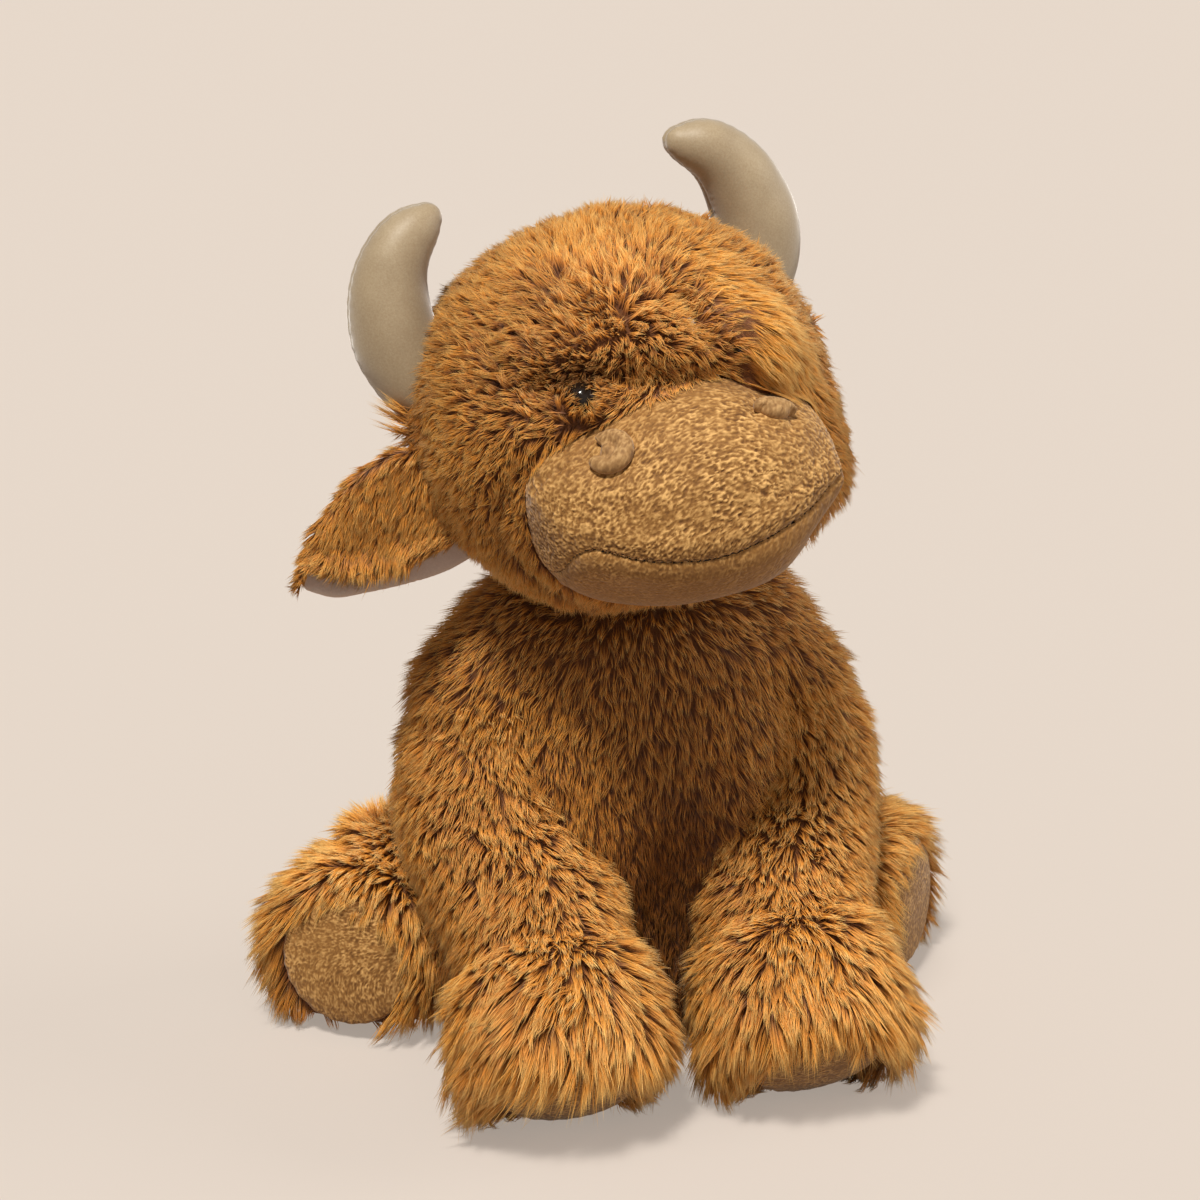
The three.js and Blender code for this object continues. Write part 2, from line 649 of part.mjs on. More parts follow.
const muzzleWall = solidOf(muzzleForm(0, fine)).subtract(aroundHead)
  .subtract(solidOf(muzzleForm(-skinThickness, coarse)));
let muzzleUpper = muzzleWall.subtract(belowMouth(clearance / 2));
const muzzleLip = mainBody(muzzleWall.intersect(belowMouth(-clearance / 2)));
const muzzleFilling = solidOf(muzzleForm(-skinThickness - 2 * clearance, coarse)).subtract(wideOfHead);

const threadPath = [];
for (let i = 0; i <= mouthSteps; i += 1) {
  const xShare = mouthSpanShare * ((2 * i) / mouthSteps - 1);
  const spot = frontPoint(muzzleCentre, muzzleSizes, muzzleExponent, xShare, mouthHeightShare(xShare));
  threadPath.push(spot.point.addScaledVector(spot.normal, threadRadius + clearance));
}
const thread = solidOf(limbForm(threadPath, threadRadius, threadRadiusShares, 0, ...threadFacets));
place(headGroup, 'mouth_thread', thread, threadYarn);

for (const side of sides) {
  const sign = signOf(side);
  const [outShare, upShare] = nostrilPlaceShares;
  const spot = frontPoint(muzzleCentre, muzzleSizes, muzzleExponent, sign * outShare, upShare);
  const seat = spot.point.clone().addScaledVector(spot.normal, nostrilRollRadius * nostrilProudShare);
  const aside = new THREE.Vector3().crossVectors(zAxis, spot.normal).normalize();
  const upward = new THREE.Vector3().crossVectors(spot.normal, aside);
  const roll = [];
  const [, bends] = rollFacets;
  const firstDegrees = nostrilTurnDegrees + quarterTurnDegrees + (fullTurnDegrees - nostrilArcDegrees) / 2;
  for (let i = 0; i <= bends; i += 1) {
    const angle = THREE.MathUtils.degToRad(firstDegrees + (nostrilArcDegrees * i) / bends);
    roll.push(seat.clone()
      .addScaledVector(aside, sign * -nostrilRadius * Math.cos(angle))
      .addScaledVector(upward, nostrilRadius * Math.sin(angle)));
  }
  const rollForm = (grow) => (
    solidOf(limbForm(roll, nostrilRollRadius, nostrilRollShares, grow, ...rollFacets, grow)));
  place(headGroup, `nostril_${side}`, rollForm(0), shortPile);
  muzzleUpper = muzzleUpper.subtract(rollForm(clearance));
}
place(headGroup, 'muzzle_upper', mainBody(muzzleUpper), shortPile);
place(headGroup, 'muzzle_lip', muzzleLip, shortPile);
place(headGroup, 'muzzle_stuffing', mainBody(muzzleFilling), wadding);

// Eyes: a bead on a shank through the head skin, held by a washer behind it
const washerDepth = skinThickness + washerRadius ** 2 / headDepth + washerGap;
const eyeHeight = muzzleCentre.z + muzzleHeight / 2 + eyeAboveMuzzle;
for (const side of sides) {
  const upShare = eyeHeight / (headHeight / 2);
  const spot = frontPoint(origin, headSizes, headExponent, signOf(side) * eyeOutShare, upShare);
  const inward = spot.normal.clone().negate();
  const beadCentre = spot.point.clone().addScaledVector(spot.normal, eyeRadius * eyeProudShare);
  const shank = boreAlong(beadCentre, inward, eyeShankRadius, eyeShankLength + eyeRadius * eyeProudShare);
  place(headGroup, `eye_${side}`, solidOf(ball(beadCentre, eyeRadius)).add(shank), blackGloss);
  headSkin = headSkin.subtract(solidOf(innerSocket(beadCentre, eyeRadius)))
    .subtract(boreAlong(beadCentre, inward, eyeShankRadius + clearance, eyeShankLength + eyeRadius));
  const washerSeat = spot.point.clone().addScaledVector(inward, washerDepth);
  const washer = boreAlong(washerSeat, inward, washerRadius, washerThickness)
    .subtract(boreAlong(beadCentre, inward, eyeShankRadius + clearance, eyeShankLength + eyeRadius));
  place(headGroup, `eye_washer_${side}`, washer, whitePlastic);
  const washerRoom = boreAlong(
    spot.point.clone().addScaledVector(inward, washerDepth - clearance),
    inward,
    washerRadius + clearance,
    eyeShankLength - washerDepth + 3 * clearance,
  );
  headSkin = headSkin.subtract(washerRoom);
  headFilling = headFilling.subtract(washerRoom);
}

// Horns: a curved skin, open at its root on the head, over its own filling
for (const side of sides) {
  const sign = signOf(side);
  const path = hornPathShares.map(([x, y, z]) => new THREE.Vector3(
    (sign * x * hornSpread) / 2,
    y * hornHeight,
    hornRootHeight + z * hornHeight,
  ));
  const hornForm = (grow, facets, endReach) => (
    solidOf(limbForm(path, hornRootRadius, hornRadiusShares, grow, ...facets, endReach)));
  const outer = hornForm(0, hornFacets, hornRootRadius * hornTipShare);
  const cavity = hornForm(-skinThickness, limbCore, 0);
  const filling = hornForm(-skinThickness - 2 * clearance, limbCore, -2 * clearance);
  place(headGroup, `horn_${side}_skin`, mainBody(outer.subtract(aroundHead).subtract(cavity)), ivoryCloth);
  place(headGroup, `horn_${side}_stuffing`, mainBody(filling.subtract(wideOfHead)), wadding);
}

// Ears: leaves that curl forward at their lower edge, on a rolled root in a groove of the head
const coarseHead = headForm(clearance + sweepMargin, coarse);
for (const [index, side] of sides.entries()) {
  const sign = signOf(side);
  const root = headPlace([sign * earPlaceShares[0], earPlaceShares[1], earPlaceShares[2]]);
  const droop = THREE.MathUtils.degToRad(earDroopDegrees);
  const outward = new THREE.Vector3(sign * Math.cos(droop), 0, -Math.sin(droop));
  const up = new THREE.Vector3(sign * Math.sin(droop), 0, Math.cos(droop));
  const axis = up.clone().multiplyScalar(sign);
  const leaf = (layer, thickness, drop) => {
    const rings = earOutlineShares.map(([x, high, low]) => {
      const middle = ((high + low) * earRootWidth) / 2 - drop / 2;
      const half = ((high - low) * earRootWidth) / 2 + drop / 2;
      const ring = [];
      for (let j = 0; j < boreFacets; j += 1) {
        const [a, b] = ovalPoint((2 * Math.PI * j) / boreFacets, earExponent);
        const curl = Math.max(-(b * half + middle) / (earRootWidth / 2), 0) ** 2;
        ring.push(root.clone()
          .addScaledVector(outward, x * earLength)
          .addScaledVector(up, middle + b * half)
          .addScaledVector(yAxis, layer + (a * thickness) / 2 - earThickness * curl));
      }
      return ring;
    });
    const start = root.clone().addScaledVector(yAxis, layer);
    const [tipOut, tipUp] = earTipShares;
    const tip = root.clone().addScaledVector(outward, tipOut * earLength)
      .addScaledVector(up, tipUp * earRootWidth)
      .addScaledVector(yAxis, layer - earThickness * earTipCurlShare);
    return closedSurface(rings, start, tip);
  };
  const outerThickness = earThickness - liningThickness;
  const rest = (geometry) => turned(geometry, root, axis, earRestDegrees[index]);
  const outerLeaf = solidOf(rest(leaf(-outerThickness / 2, outerThickness, 0)));
  const liningLayer = liningThickness / 2 + clearance;
  const liningLeaf = solidOf(rest(leaf(liningLayer, liningThickness, earThickness / 2)));
  const rollLength = earRootWidth * earRollShare;
  const rollStart = root.clone().addScaledVector(up, -rollLength / 2);
  const roll = boreAlong(rollStart, up, earHubRadius, rollLength);
  const grooveStart = rollStart.clone().addScaledVector(up, -clearance);
  const grooveLength = rollLength + 2 * clearance;
  const groove = boreAlong(grooveStart, up, (earHubRadius + clearance) / boreRoundnessShare, grooveLength);
  const freeOfHead = (leafSolid) => cutBySweep(leafSolid, coarseHead, root, axis, earFlapDegrees[index]);
  const outer = mainBody(freeOfHead(outerLeaf).add(roll));
  const lining = mainBody(freeOfHead(liningLeaf)
    .subtract(boreAlong(grooveStart, up, earHubRadius + clearance, grooveLength))
    .subtract(outer));
  headSkin = headSkin.subtract(groove);
  headFilling = headFilling.subtract(groove);
  place(headGroup, `ear_${side}_outer`, outer, longPile);
  place(headGroup, `ear_${side}_lining`, lining, liningCloth);
}
place(headGroup, 'head_skin', mainBody(headSkin), longPile);
place(headGroup, 'head_stuffing', mainBody(headFilling), wadding);

export default cow;
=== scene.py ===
import json
import math

import bpy
import numpy as np
from mathutils import Matrix, Vector
from mathutils.bvhtree import BVHTree
from mathutils.kdtree import KDTree

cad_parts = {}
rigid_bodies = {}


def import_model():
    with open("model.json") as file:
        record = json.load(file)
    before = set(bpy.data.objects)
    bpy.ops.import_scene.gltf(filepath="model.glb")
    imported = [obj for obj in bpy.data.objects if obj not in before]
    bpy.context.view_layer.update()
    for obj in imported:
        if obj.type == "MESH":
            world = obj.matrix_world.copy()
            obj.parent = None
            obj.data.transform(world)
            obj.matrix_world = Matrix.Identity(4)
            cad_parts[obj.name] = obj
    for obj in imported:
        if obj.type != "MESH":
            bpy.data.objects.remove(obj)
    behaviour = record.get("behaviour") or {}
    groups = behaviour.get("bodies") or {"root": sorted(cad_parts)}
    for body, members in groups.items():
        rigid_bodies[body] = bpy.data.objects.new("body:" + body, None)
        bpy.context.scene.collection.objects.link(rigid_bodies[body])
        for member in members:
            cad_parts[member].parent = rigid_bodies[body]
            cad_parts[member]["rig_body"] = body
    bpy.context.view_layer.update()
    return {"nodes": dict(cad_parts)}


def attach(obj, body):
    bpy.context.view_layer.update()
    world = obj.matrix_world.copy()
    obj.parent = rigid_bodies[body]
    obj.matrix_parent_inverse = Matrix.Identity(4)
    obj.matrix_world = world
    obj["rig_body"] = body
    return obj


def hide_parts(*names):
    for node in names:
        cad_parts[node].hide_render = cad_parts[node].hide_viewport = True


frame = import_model()

# Lengths are metres. Left and right are the cow's own: its left side is +X, and it faces -Y.
MM = 0.001
SIDES = (("left", 1), ("right", -1))

# The sizes that the solids were made with
TORSO = np.array([146, 114, 172]) * MM
TORSO_EXPONENTS = (4, 3)
TORSO_WIDTH_SHARES = [(0, 1), (0.2, 1.05), (0.5, 0.97), (0.75, 0.86), (0.9, 0.95), (1, 1)]
TORSO_DEPTH_SHARES = [(0, 1), (0.25, 1.04), (0.5, 0.95), (0.75, 0.76), (0.9, 0.74), (1, 0.74)]
TORSO_LEAN_SHARES = [(0, 0), (0.5, -0.05), (1, -0.28)]
NECK_SHARES = np.array([-0.07, -0.28, 0.977])

HEAD = np.array([134, 124, 125]) * MM
HEAD_EXPONENT = 2.1
HEAD_OFFSET = np.array([-4.5, -14, 66]) * MM
HEAD_ROLL, HEAD_PITCH, HEAD_YAW = -12.5, -8, 4

MUZZLE = np.array([101, 84, 72]) * MM
MUZZLE_EXPONENT = 2.25
MUZZLE_SHARES = np.array([0, -0.72, -0.32])
MOUTH_SHARES = [(-0.95, -0.36), (-0.9, -0.17), (-0.81, -0.09), (-0.74, -0.12), (-0.6, -0.23), (-0.44, -0.32),
                (-0.18, -0.41), (0, -0.43), (0.21, -0.4), (0.39, -0.36), (0.56, -0.31), (0.78, -0.19),
                (0.92, -0.06)]

HORN_ROOT = 14.5 * MM
HORN_SPREAD = 128 * MM
HORN_HEIGHT = 56 * MM
HORN_BASE = 22 * MM
HORN_RADIUS_SHARES = [(0, 1), (0.3, 1.02), (0.55, 0.93), (0.8, 0.72), (0.92, 0.54), (1, 0.3)]
HORN_PATH_SHARES = [(0.76, 0.27, -0.14), (0.93, 0.25, 0.12), (1, 0.24, 0.38), (0.96, 0.22, 0.66),
                    (0.85, 0.2, 0.86), (0.65, 0.18, 1)]
HORN_STEPS = 40
HORN_STEPS_IN_PILE = 14

EAR_LENGTH = 56 * MM
EAR_WIDTH = 42 * MM
EAR_THICKNESS = 8 * MM
LINING_THICKNESS = 2.6 * MM
EAR_SHARES = np.array([0.96, 0.08, -0.16])
EAR_CURL = 9 * MM
EAR_DROOP = 14
EAR_REST = {"left": 84, "right": 8}
EAR_OUTLINE_SHARES = [(0, 0.42, -0.54), (0.2, 0.5, -0.54), (0.45, 0.44, -0.47), (0.7, 0.28, -0.36),
                      (0.88, 0.12, -0.26), (1, -0.02, -0.1)]

LEG_RADIUS = 26 * MM
FOOT_RADIUS = 31 * MM
FOOT_LENGTH = 50 * MM
LEG_RADIUS_SHARES = [(0, 0.84), (0.2, 1), (0.7, 1), (1, 0.96)]
FOOT_RADIUS_SHARES = [(0, 0.62), (0.22, 0.93), (0.55, 1.03), (0.88, 1), (1, 0.84)]
SHOULDER_SHARES = (0.66, -0.18, 0.735)
FRONT_PATH_SHARES = [(0.73, -0.32, 0.53), (0.58, -0.84, 0.34)]
FRONT_FOOT_SHARES = (0.59, -1.58)
FRONT_FOOT_HEIGHT = 19.5 * MM
FRONT_SOLE_FACING = (0.05, -0.75, -0.66)
FRONT_SOLE_RADIUS = 21.5 * MM
HIP_SHARES = (0.66, 0.42, 0.21)
HIND_FOOT_SHARES = {"left": (1.42, -0.02), "right": (-1.37, 0)}
HIND_FOOT_HEIGHT = 30.5 * MM
HIND_SOLE_FACING = {"left": (0.8, -0.6, 0.04), "right": (-0.5, -0.86, 0.06)}
HIND_SOLE_RADIUS = 24 * MM
SOLE_EDGE = 2 * MM
SOLE_CROWN = 4.5 * MM
SOLE_BACK = 0.3 * MM

TAIL_PATH_SHARES = [(0, 0.97, 0.3), (0, 1.3, 0.22), (0, 1.5, 0.1)]
TUFT_PATH_SHARES = [(0, 1.5, 0.1), (0, 1.63, 0.075), (0.02, 1.85, 0.065)]
TUFT_RADIUS_SHARES = [(0, 0.5), (0.3, 0.72), (0.7, 0.6), (1, 0.2)]
TAIL_RADIUS = 6 * MM
TUFT_RADIUS = 10 * MM

# The camera, from the photograph: azimuth and elevation in degrees, and where it looks
VIEW_AZIMUTH, VIEW_ELEVATION = -14, 20
VIEW_DISTANCE = 1.1
VIEW_TARGET = np.array([-12, -10, 160]) * MM
VIEW_FOCAL_PIXELS = 3234
VIEW_PIXELS = 1200
SENSOR = 36
FLOOR_SIZE = 12

# How finely the oval forms are cut, round them and along them
AROUND, ROWS = 72, 48

UP = np.array([0, 0, 1.0])
DOWN = -UP


# Numbers
def unit(v):
    return v / np.maximum(np.linalg.norm(v, axis=-1, keepdims=True), 1e-12)


def follow(rows, station):
    """Values between rows of (station, value), on a smooth curve through them."""
    at = np.array([r[0] for r in rows], float)
    value = np.array([r[1] for r in rows], float)
    low, high = np.maximum(np.arange(len(at)) - 1, 0), np.minimum(np.arange(len(at)) + 1, len(at) - 1)
    slope = (value[high] - value[low]) / (at[high] - at[low])
    station = np.clip(np.asarray(station, float), at[0], at[-1])
    i = np.clip(np.searchsorted(at, station, side="right") - 1, 0, len(at) - 2)
    span = at[i + 1] - at[i]
    u = (station - at[i]) / span
    return ((2 * u**3 - 3 * u**2 + 1) * value[i] + (u**3 - 2 * u**2 + u) * span * slope[i]
            + (3 * u**2 - 2 * u**3) * value[i + 1] + (u**3 - u**2) * span * slope[i + 1])


def bell(value, reach):
    """1 where the value is 0, falling away over the reach on both sides."""
    return np.exp(-(value / reach) ** 2)


def ramped(value, start, end):
    """From 0 to 1 while a length goes from start to end, which are in millimetres."""
    return np.clip((value - start * MM) / ((end - start) * MM), 0, 1)


def mixed(a, b, share):
    return a * (1 - share) + share * b


def hashed(x, y, z, seed):
    """A value from -1 to 1 that looks random, for a cell of a grid."""
    n = (x * 374761393 + y * 668265263 + z * 1103515245 + seed * 974634777) & 0xFFFFFFFF
    n = ((n ^ (n >> 13)) * 1274126177) & 0xFFFFFFFF
    return ((n ^ (n >> 16)) & 0xFFFF) / 32767.5 - 1


def noise(points, scale, seed):
    """A smooth random value from -1 to 1 at each point, changing over the given length."""
    q = points / scale
    cell = np.floor(q).astype(np.int64)
    f = q - cell
    f = f * f * (3 - 2 * f)
    total = 0
    for corner in np.ndindex(2, 2, 2):
        weight = np.prod(np.where(corner, f, 1 - f), axis=-1)
        total = total + weight * hashed(*(cell + corner).T, seed)
    return total


def turn(axis, degrees):
    return np.array(Matrix.Rotation(math.radians(degrees), 3, axis))


def circle(count):
    return 2 * np.pi * np.arange(count) / count


def run_of(path):
    """How far along its path each point lies."""
    return np.concatenate([[0], np.cumsum(np.linalg.norm(np.diff(path, axis=0), axis=1))])


def between(rows, stations, at):
    """The places at some stations of a path, between rows of points whose stations are known."""
    return np.stack([np.interp(at, stations, rows[:, i]) for i in range(3)], axis=1)


def distance_to_path(points, path):
    """How far each point lies from a line through the path's points, and its station along it."""
    best = np.full(len(points), np.inf)
    station = np.zeros(len(points))
    for i in range(len(path) - 1):
        leg = path[i + 1] - path[i]
        t = np.clip((points - path[i]) @ leg / (leg @ leg), 0, 1)
        gap = np.linalg.norm(points - (path[i] + t[:, None] * leg), axis=1)
        closer = gap < best
        best[closer] = gap[closer]
        station[closer] = (i + t[closer]) / (len(path) - 1)
    return best, station


def nearest_on(points, start, end):
    """The nearest point of a straight line between two points."""
    line = end - start
    t = np.clip((points - start) @ line / (line @ line), 0, 1)
    return start + t[:, None] * line


def bump(points, centre, reach):
    """1 at the centre, falling away over the reach all round it."""
    return np.exp(-((points - centre) ** 2).sum(axis=-1) / reach**2)


def near(points, path, reach):
    """1 on the line through the path's points, falling away over the reach."""
    return bell(distance_to_path(points, path)[0], reach)


def bulged(local, rows, total=0):
    """Adds up rows of centre, rise and reach, all in millimetres, at each point."""
    for centre, rise, reach in rows:
        total = total + rise * MM * bump(local, np.array(centre) * MM, reach * MM)
    return total


# What seeds the random lie of each coat of pile
PILE_SEEDS = {
    "head": 11, "torso": 23, "ear_left": 31, "ear_right": 32, "front_leg_left": 41, "front_leg_right": 44,
    "hind_leg_left": 47, "hind_leg_right": 50, "tail": 61, "tail_tuft": 62,
}


# Places
def torso_place(shares):
    return np.array(shares, float) * TORSO * (0.5, 0.5, 1)


NECK = torso_place(NECK_SHARES)
HEAD_CENTRE = NECK + HEAD_OFFSET
HEAD_TURN = turn("Z", HEAD_YAW) @ turn("X", HEAD_PITCH) @ turn("Y", HEAD_ROLL)
MUZZLE_CENTRE = MUZZLE_SHARES * HEAD / 2


def to_head(points):
    return (points - HEAD_CENTRE) @ HEAD_TURN


def from_head(points):
    return points @ HEAD_TURN.T + HEAD_CENTRE


# Meshes
def in_scene(name, data):
    obj = bpy.data.objects.new(name, data)
    bpy.context.scene.collection.objects.link(obj)
    return obj


def mesh_object(name, points, faces):
    mesh = bpy.data.meshes.new(name)
    mesh.from_pydata(np.asarray(points).tolist(), [], [list(map(int, face)) for face in faces])
    mesh.validate()
    return in_scene(name, mesh)


def joined(forms):
    """The points and faces of several forms as one."""
    points, faces, first = [], [], 0
    for form_points, form_faces in forms:
        points.append(form_points)
        faces += [tuple(i + first for i in face) for face in form_faces]
        first += len(form_points)
    return np.vstack(points), faces


def stacked(rings, start, end):
    """The closed surface over a stack of rings between two end points."""
    rings = np.asarray(rings)
    rows, around = rings.shape[:2]
    points = np.vstack([rings.reshape(-1, 3), start, end])
    faces = []
    for j in range(around):
        k = (j + 1) % around
        faces.append((rows * around, k, j))
        faces.append((rows * around + 1, (rows - 1) * around + j, (rows - 1) * around + k))
        faces += [(i * around + j, i * around + k, (i + 1) * around + k, (i + 1) * around + j)
                  for i in range(rows - 1)]
    return points, faces


def round_form(centre, sizes, exponent, grow=0):
    """An oval body of three sizes about a centre, with its poles on x."""
    def oval(angle):
        c, s = np.cos(angle), np.sin(angle)
        return np.stack([c, s]) * (np.abs(c) ** exponent + np.abs(s) ** exponent) ** (-1 / exponent)

    half = np.asarray(sizes) / 2 + grow
    along, out = oval(np.pi * np.arange(1, ROWS) / ROWS)
    a, b = oval(circle(AROUND))
    rings = np.stack([
        np.repeat(-along[:, None], AROUND, axis=1),
        out[:, None] * a[None, :],
        out[:, None] * b[None, :],
    ], axis=-1) * half + centre
    return stacked(rings, centre - (half[0], 0, 0), centre + (half[0], 0, 0))


def smooth_path(points, steps):
    """A Catmull-Rom curve through the points, in equal steps of length."""
    points = np.asarray(points, float)
    if len(points) == 2:
        return points[0] + np.linspace(0, 1, steps)[:, None] * (points[1] - points[0])
    padded = np.vstack([2 * points[0] - points[1], points, 2 * points[-1] - points[-2]])
    fine = []
    for i in range(len(points) - 1):
        a, b, c, d = padded[i:i + 4]
        t = np.linspace(0, 1, 24, endpoint=False)[:, None]
        fine.append(0.5 * (2 * b + (c - a) * t + (2 * a - 5 * b + 4 * c - d) * t**2
                           + (3 * b - a - 3 * c + d) * t**3))
    fine = np.vstack([*fine, points[-1:]])
    run = run_of(fine)
    return between(fine, run, np.linspace(0, run[-1], steps))


def tube(path, radii, around=32):
    """A closed limb along a path with a radius at each of its points."""
    tangent = unit(np.gradient(path, axis=0))
    side = np.array([1.0, 0, 0]) if abs(tangent[0, 0]) < 0.9 else np.array([0, 1.0, 0])
    angle = circle(around)
    rings = []
    for centre, along, radius in zip(path, tangent, radii):
        side = unit(side - (side @ along) * along)
        other = np.cross(along, side)
        rings.append(centre + radius * (np.cos(angle)[:, None] * side + np.sin(angle)[:, None] * other))
    return stacked(rings, path[0], path[-1])


def lozenge(start, end, radius):
    """A closed limb with round ends between two points."""
    start, end = np.asarray(start, float), np.asarray(end, float)
    length = np.linalg.norm(end - start)
    at = -radius * np.cos(np.linspace(0.1, np.pi - 0.1, 18)) + length * np.linspace(0, 1, 18)
    past = np.maximum(-at, at - length)
    radii = np.sqrt(radius**2 - np.clip(past, 0, radius * 0.999) ** 2)
    return tube(start + at[:, None] * (end - start) / length, radii)


def evaluated(obj):
    """Applies the modifiers of a mesh object."""
    graph = bpy.context.evaluated_depsgraph_get()
    mesh = bpy.data.meshes.new_from_object(obj.evaluated_get(graph), depsgraph=graph)
    obj.modifiers.clear()
    obj.data = mesh
    return obj


def remeshed(name, forms, voxel, rounds):
    """One smooth closed skin round all the forms."""
    obj = mesh_object(name, *joined(forms))
    remesh = obj.modifiers.new("remesh", "REMESH")
    remesh.mode = "VOXEL"
    remesh.voxel_size = voxel
    smooth = obj.modifiers.new("smooth", "SMOOTH")
    smooth.factor = 0.5
    smooth.iterations = rounds
    return shaded_smooth(evaluated(obj))


def refined(obj):
    """Splits each face in four."""
    fine = obj.modifiers.new("fine", "SUBSURF")
    fine.levels = fine.render_levels = 1
    return shaded_smooth(evaluated(obj))


def shaded_smooth(obj):
    obj.data.polygons.foreach_set("use_smooth", np.ones(len(obj.data.polygons), bool))
    return obj


def values_of(rows, key, kind=float):
    """Three values for each row of a mesh."""
    values = np.empty(len(rows) * 3, kind)
    rows.foreach_get(key, values)
    return values.reshape(-1, 3)


def points_of(obj):
    return values_of(obj.data.vertices, "co")


def form_of(obj):
    return points_of(obj), [tuple(p.vertices) for p in obj.data.polygons]


def surface_of(obj):
    """What finds the place of a mesh that is nearest to a point."""
    points, faces = form_of(obj)
    return BVHTree.FromPolygons(points.tolist(), faces)


def normals_of(obj):
    return values_of(obj.data.vertex_normals, "vector", np.float32).astype(float)


def set_points(obj, points):
    obj.data.vertices.foreach_set("co", np.asarray(points, np.float32).ravel())
    obj.data.update()


def raised_to(points, floor):
    """Lifts what lies below a height, one for all points or one for each."""
    return np.column_stack([points[:, :2], np.maximum(points[:, 2], floor)])


def sculpted(obj, height):
    """Moves each point along its normal by height(points)."""
    points = points_of(obj)
    set_points(obj, points + normals_of(obj) * height(points)[:, None])


def triangles_of(obj):
    obj.data.calc_loop_triangles()
    return values_of(obj.data.loop_triangles, "vertices", np.int32)


# Materials
def set_up(made, **settings):
    """Sets a node's own settings and inputs, and links each input that is given another node's output."""
    for name, value in settings.items():
        key = name.replace("_", " ")
        if hasattr(made, name):
            setattr(made, name, value)
        elif isinstance(value, bpy.types.NodeSocket):
            made.id_data.links.new(value, made.inputs[key])
        else:
            made.inputs[key].default_value = value
    return made


def node(tree, kind, **settings):
    return set_up(tree.nodes.new(kind), **settings)


def principled(name, **settings):
    """A new material, its nodes and its shader."""
    material = bpy.data.materials.new(name)
    material.use_nodes = True
    tree = material.node_tree
    return material, tree, set_up(tree.nodes["Principled BSDF"], Sheen_Roughness=0.4, **settings)


def ramp(tree, source, stops):
    made = node(tree, "ShaderNodeValToRGB", Fac=source)
    elements = made.color_ramp.elements
    while len(elements) < len(stops):
        elements.new(0.5)
    for element, (position, colour) in zip(elements, stops):
        element.position = position
        element.color = (*colour, 1)
    return made.outputs["Color"]


def speckle(tree, scale, detail, stretch=(1, 1, 1), distortion=0.0):
    """Noise over coordinates in metres along the piece's own axes, stretched by three factors."""
    place = node(tree, "ShaderNodeTexCoord").outputs["Object"]
    place = node(tree, "ShaderNodeMapping", Vector=place, Scale=stretch).outputs["Vector"]
    made = node(tree, "ShaderNodeTexNoise", Vector=place, Scale=scale, Detail=detail, Distortion=distortion)
    return made.outputs["Fac"]


def bumped(tree, height, depth):
    return node(tree, "ShaderNodeBump", Height=height, Distance=depth, Strength=1.0).outputs["Normal"]


def multiplied(tree, a, b):
    made = node(tree, "ShaderNodeMix", data_type="RGBA", blend_type="MULTIPLY", Factor=1, A=a, B=b)
    return made.outputs["Result"]


def mottled(tree, colour, source, low, high=(1.03, 1.03, 1.03)):
    """Darkens and lightens a colour as a pattern falls and rises."""
    return multiplied(tree, colour, ramp(tree, source, [(0.3, low), (0.7, high)]))


def pile_material(name, root, middle, tip):
    """Colour runs from root to tip along a strand: the dark root is painted shade deep in the pile and the
    light tip partly a painted highlight.
    Tone varies from strand to strand at random, and also carries each coat's painted light and shade.
    """
    material, tree, shader = principled(name, Roughness=0.5, Sheen_Weight=0.3, Specular_IOR_Level=0.4,
                                        Sheen_Tint=(1.0, 0.72, 0.42, 1))
    place = node(tree, "ShaderNodeUVMap", uv_map="OFBake").outputs["UV"]
    split = node(tree, "ShaderNodeSeparateXYZ", Vector=place).outputs
    # Painted shade and highlight: the root end is dark for the shade deep in the pile, the tip light partly
    # for the light that catches it
    along = ramp(tree, split["Y"], [(0.12, root), (0.62, middle), (1, tip)])
    tone = ramp(tree, split["X"], [(0, (0.30, 0.24, 0.18)), (0.35, (0.72, 0.67, 0.61)),
                                   (0.65, (1.0, 1.0, 1.0)), (1, (1.12, 1.26, 1.45))])
    set_up(shader, Base_Color=multiplied(tree, along, tone))
    return material


def velour_material(name, hollow, slope, ridge):
    """Cropped pile: its colour follows the nap that is pressed into the mesh, dark in the hollows as painted
    shade and light on the ridges as painted highlight.
    """
    material, tree, shader = principled(name, Roughness=0.7, Sheen_Weight=0.25, Specular_IOR_Level=0.3)
    nap = node(tree, "ShaderNodeAttribute", attribute_name="nap").outputs["Fac"]
    fine = speckle(tree, 1500, 3.0, (1, 1, 0.5), 0.5)
    # Painted shade in the hollows of the nap, painted highlight on its ridges
    colour = ramp(tree, nap, [(0.05, hollow), (0.45, slope), (0.9, ridge)])
    colour = mottled(tree, colour, fine, (0.82, 0.8, 0.77), (1.08, 1.08, 1.08))
    colour = mottled(tree, colour, speckle(tree, 45, 2.0), (0.9, 0.88, 0.85))
    set_up(shader, Base_Color=colour, Normal=bumped(tree, fine, 0.15 * MM))
    return material


def cloth_material(name, dark, light, scale, roughness, sheen, depth, stretch=(1, 1, 1), specular=0.5):
    """A cloth whose colour and relief both follow a fine mottle."""
    material, tree, shader = principled(name, Roughness=roughness, Sheen_Weight=sheen,
                                        Specular_IOR_Level=specular)
    fine = speckle(tree, scale, 4.0, stretch, 0.6)
    colour = ramp(tree, fine, [(0.3, dark), (0.7, light)])
    colour = mottled(tree, colour, speckle(tree, scale / 18, 2.0), (0.9, 0.88, 0.86))
    set_up(shader, Base_Color=colour, Normal=bumped(tree, fine, depth))
    return material


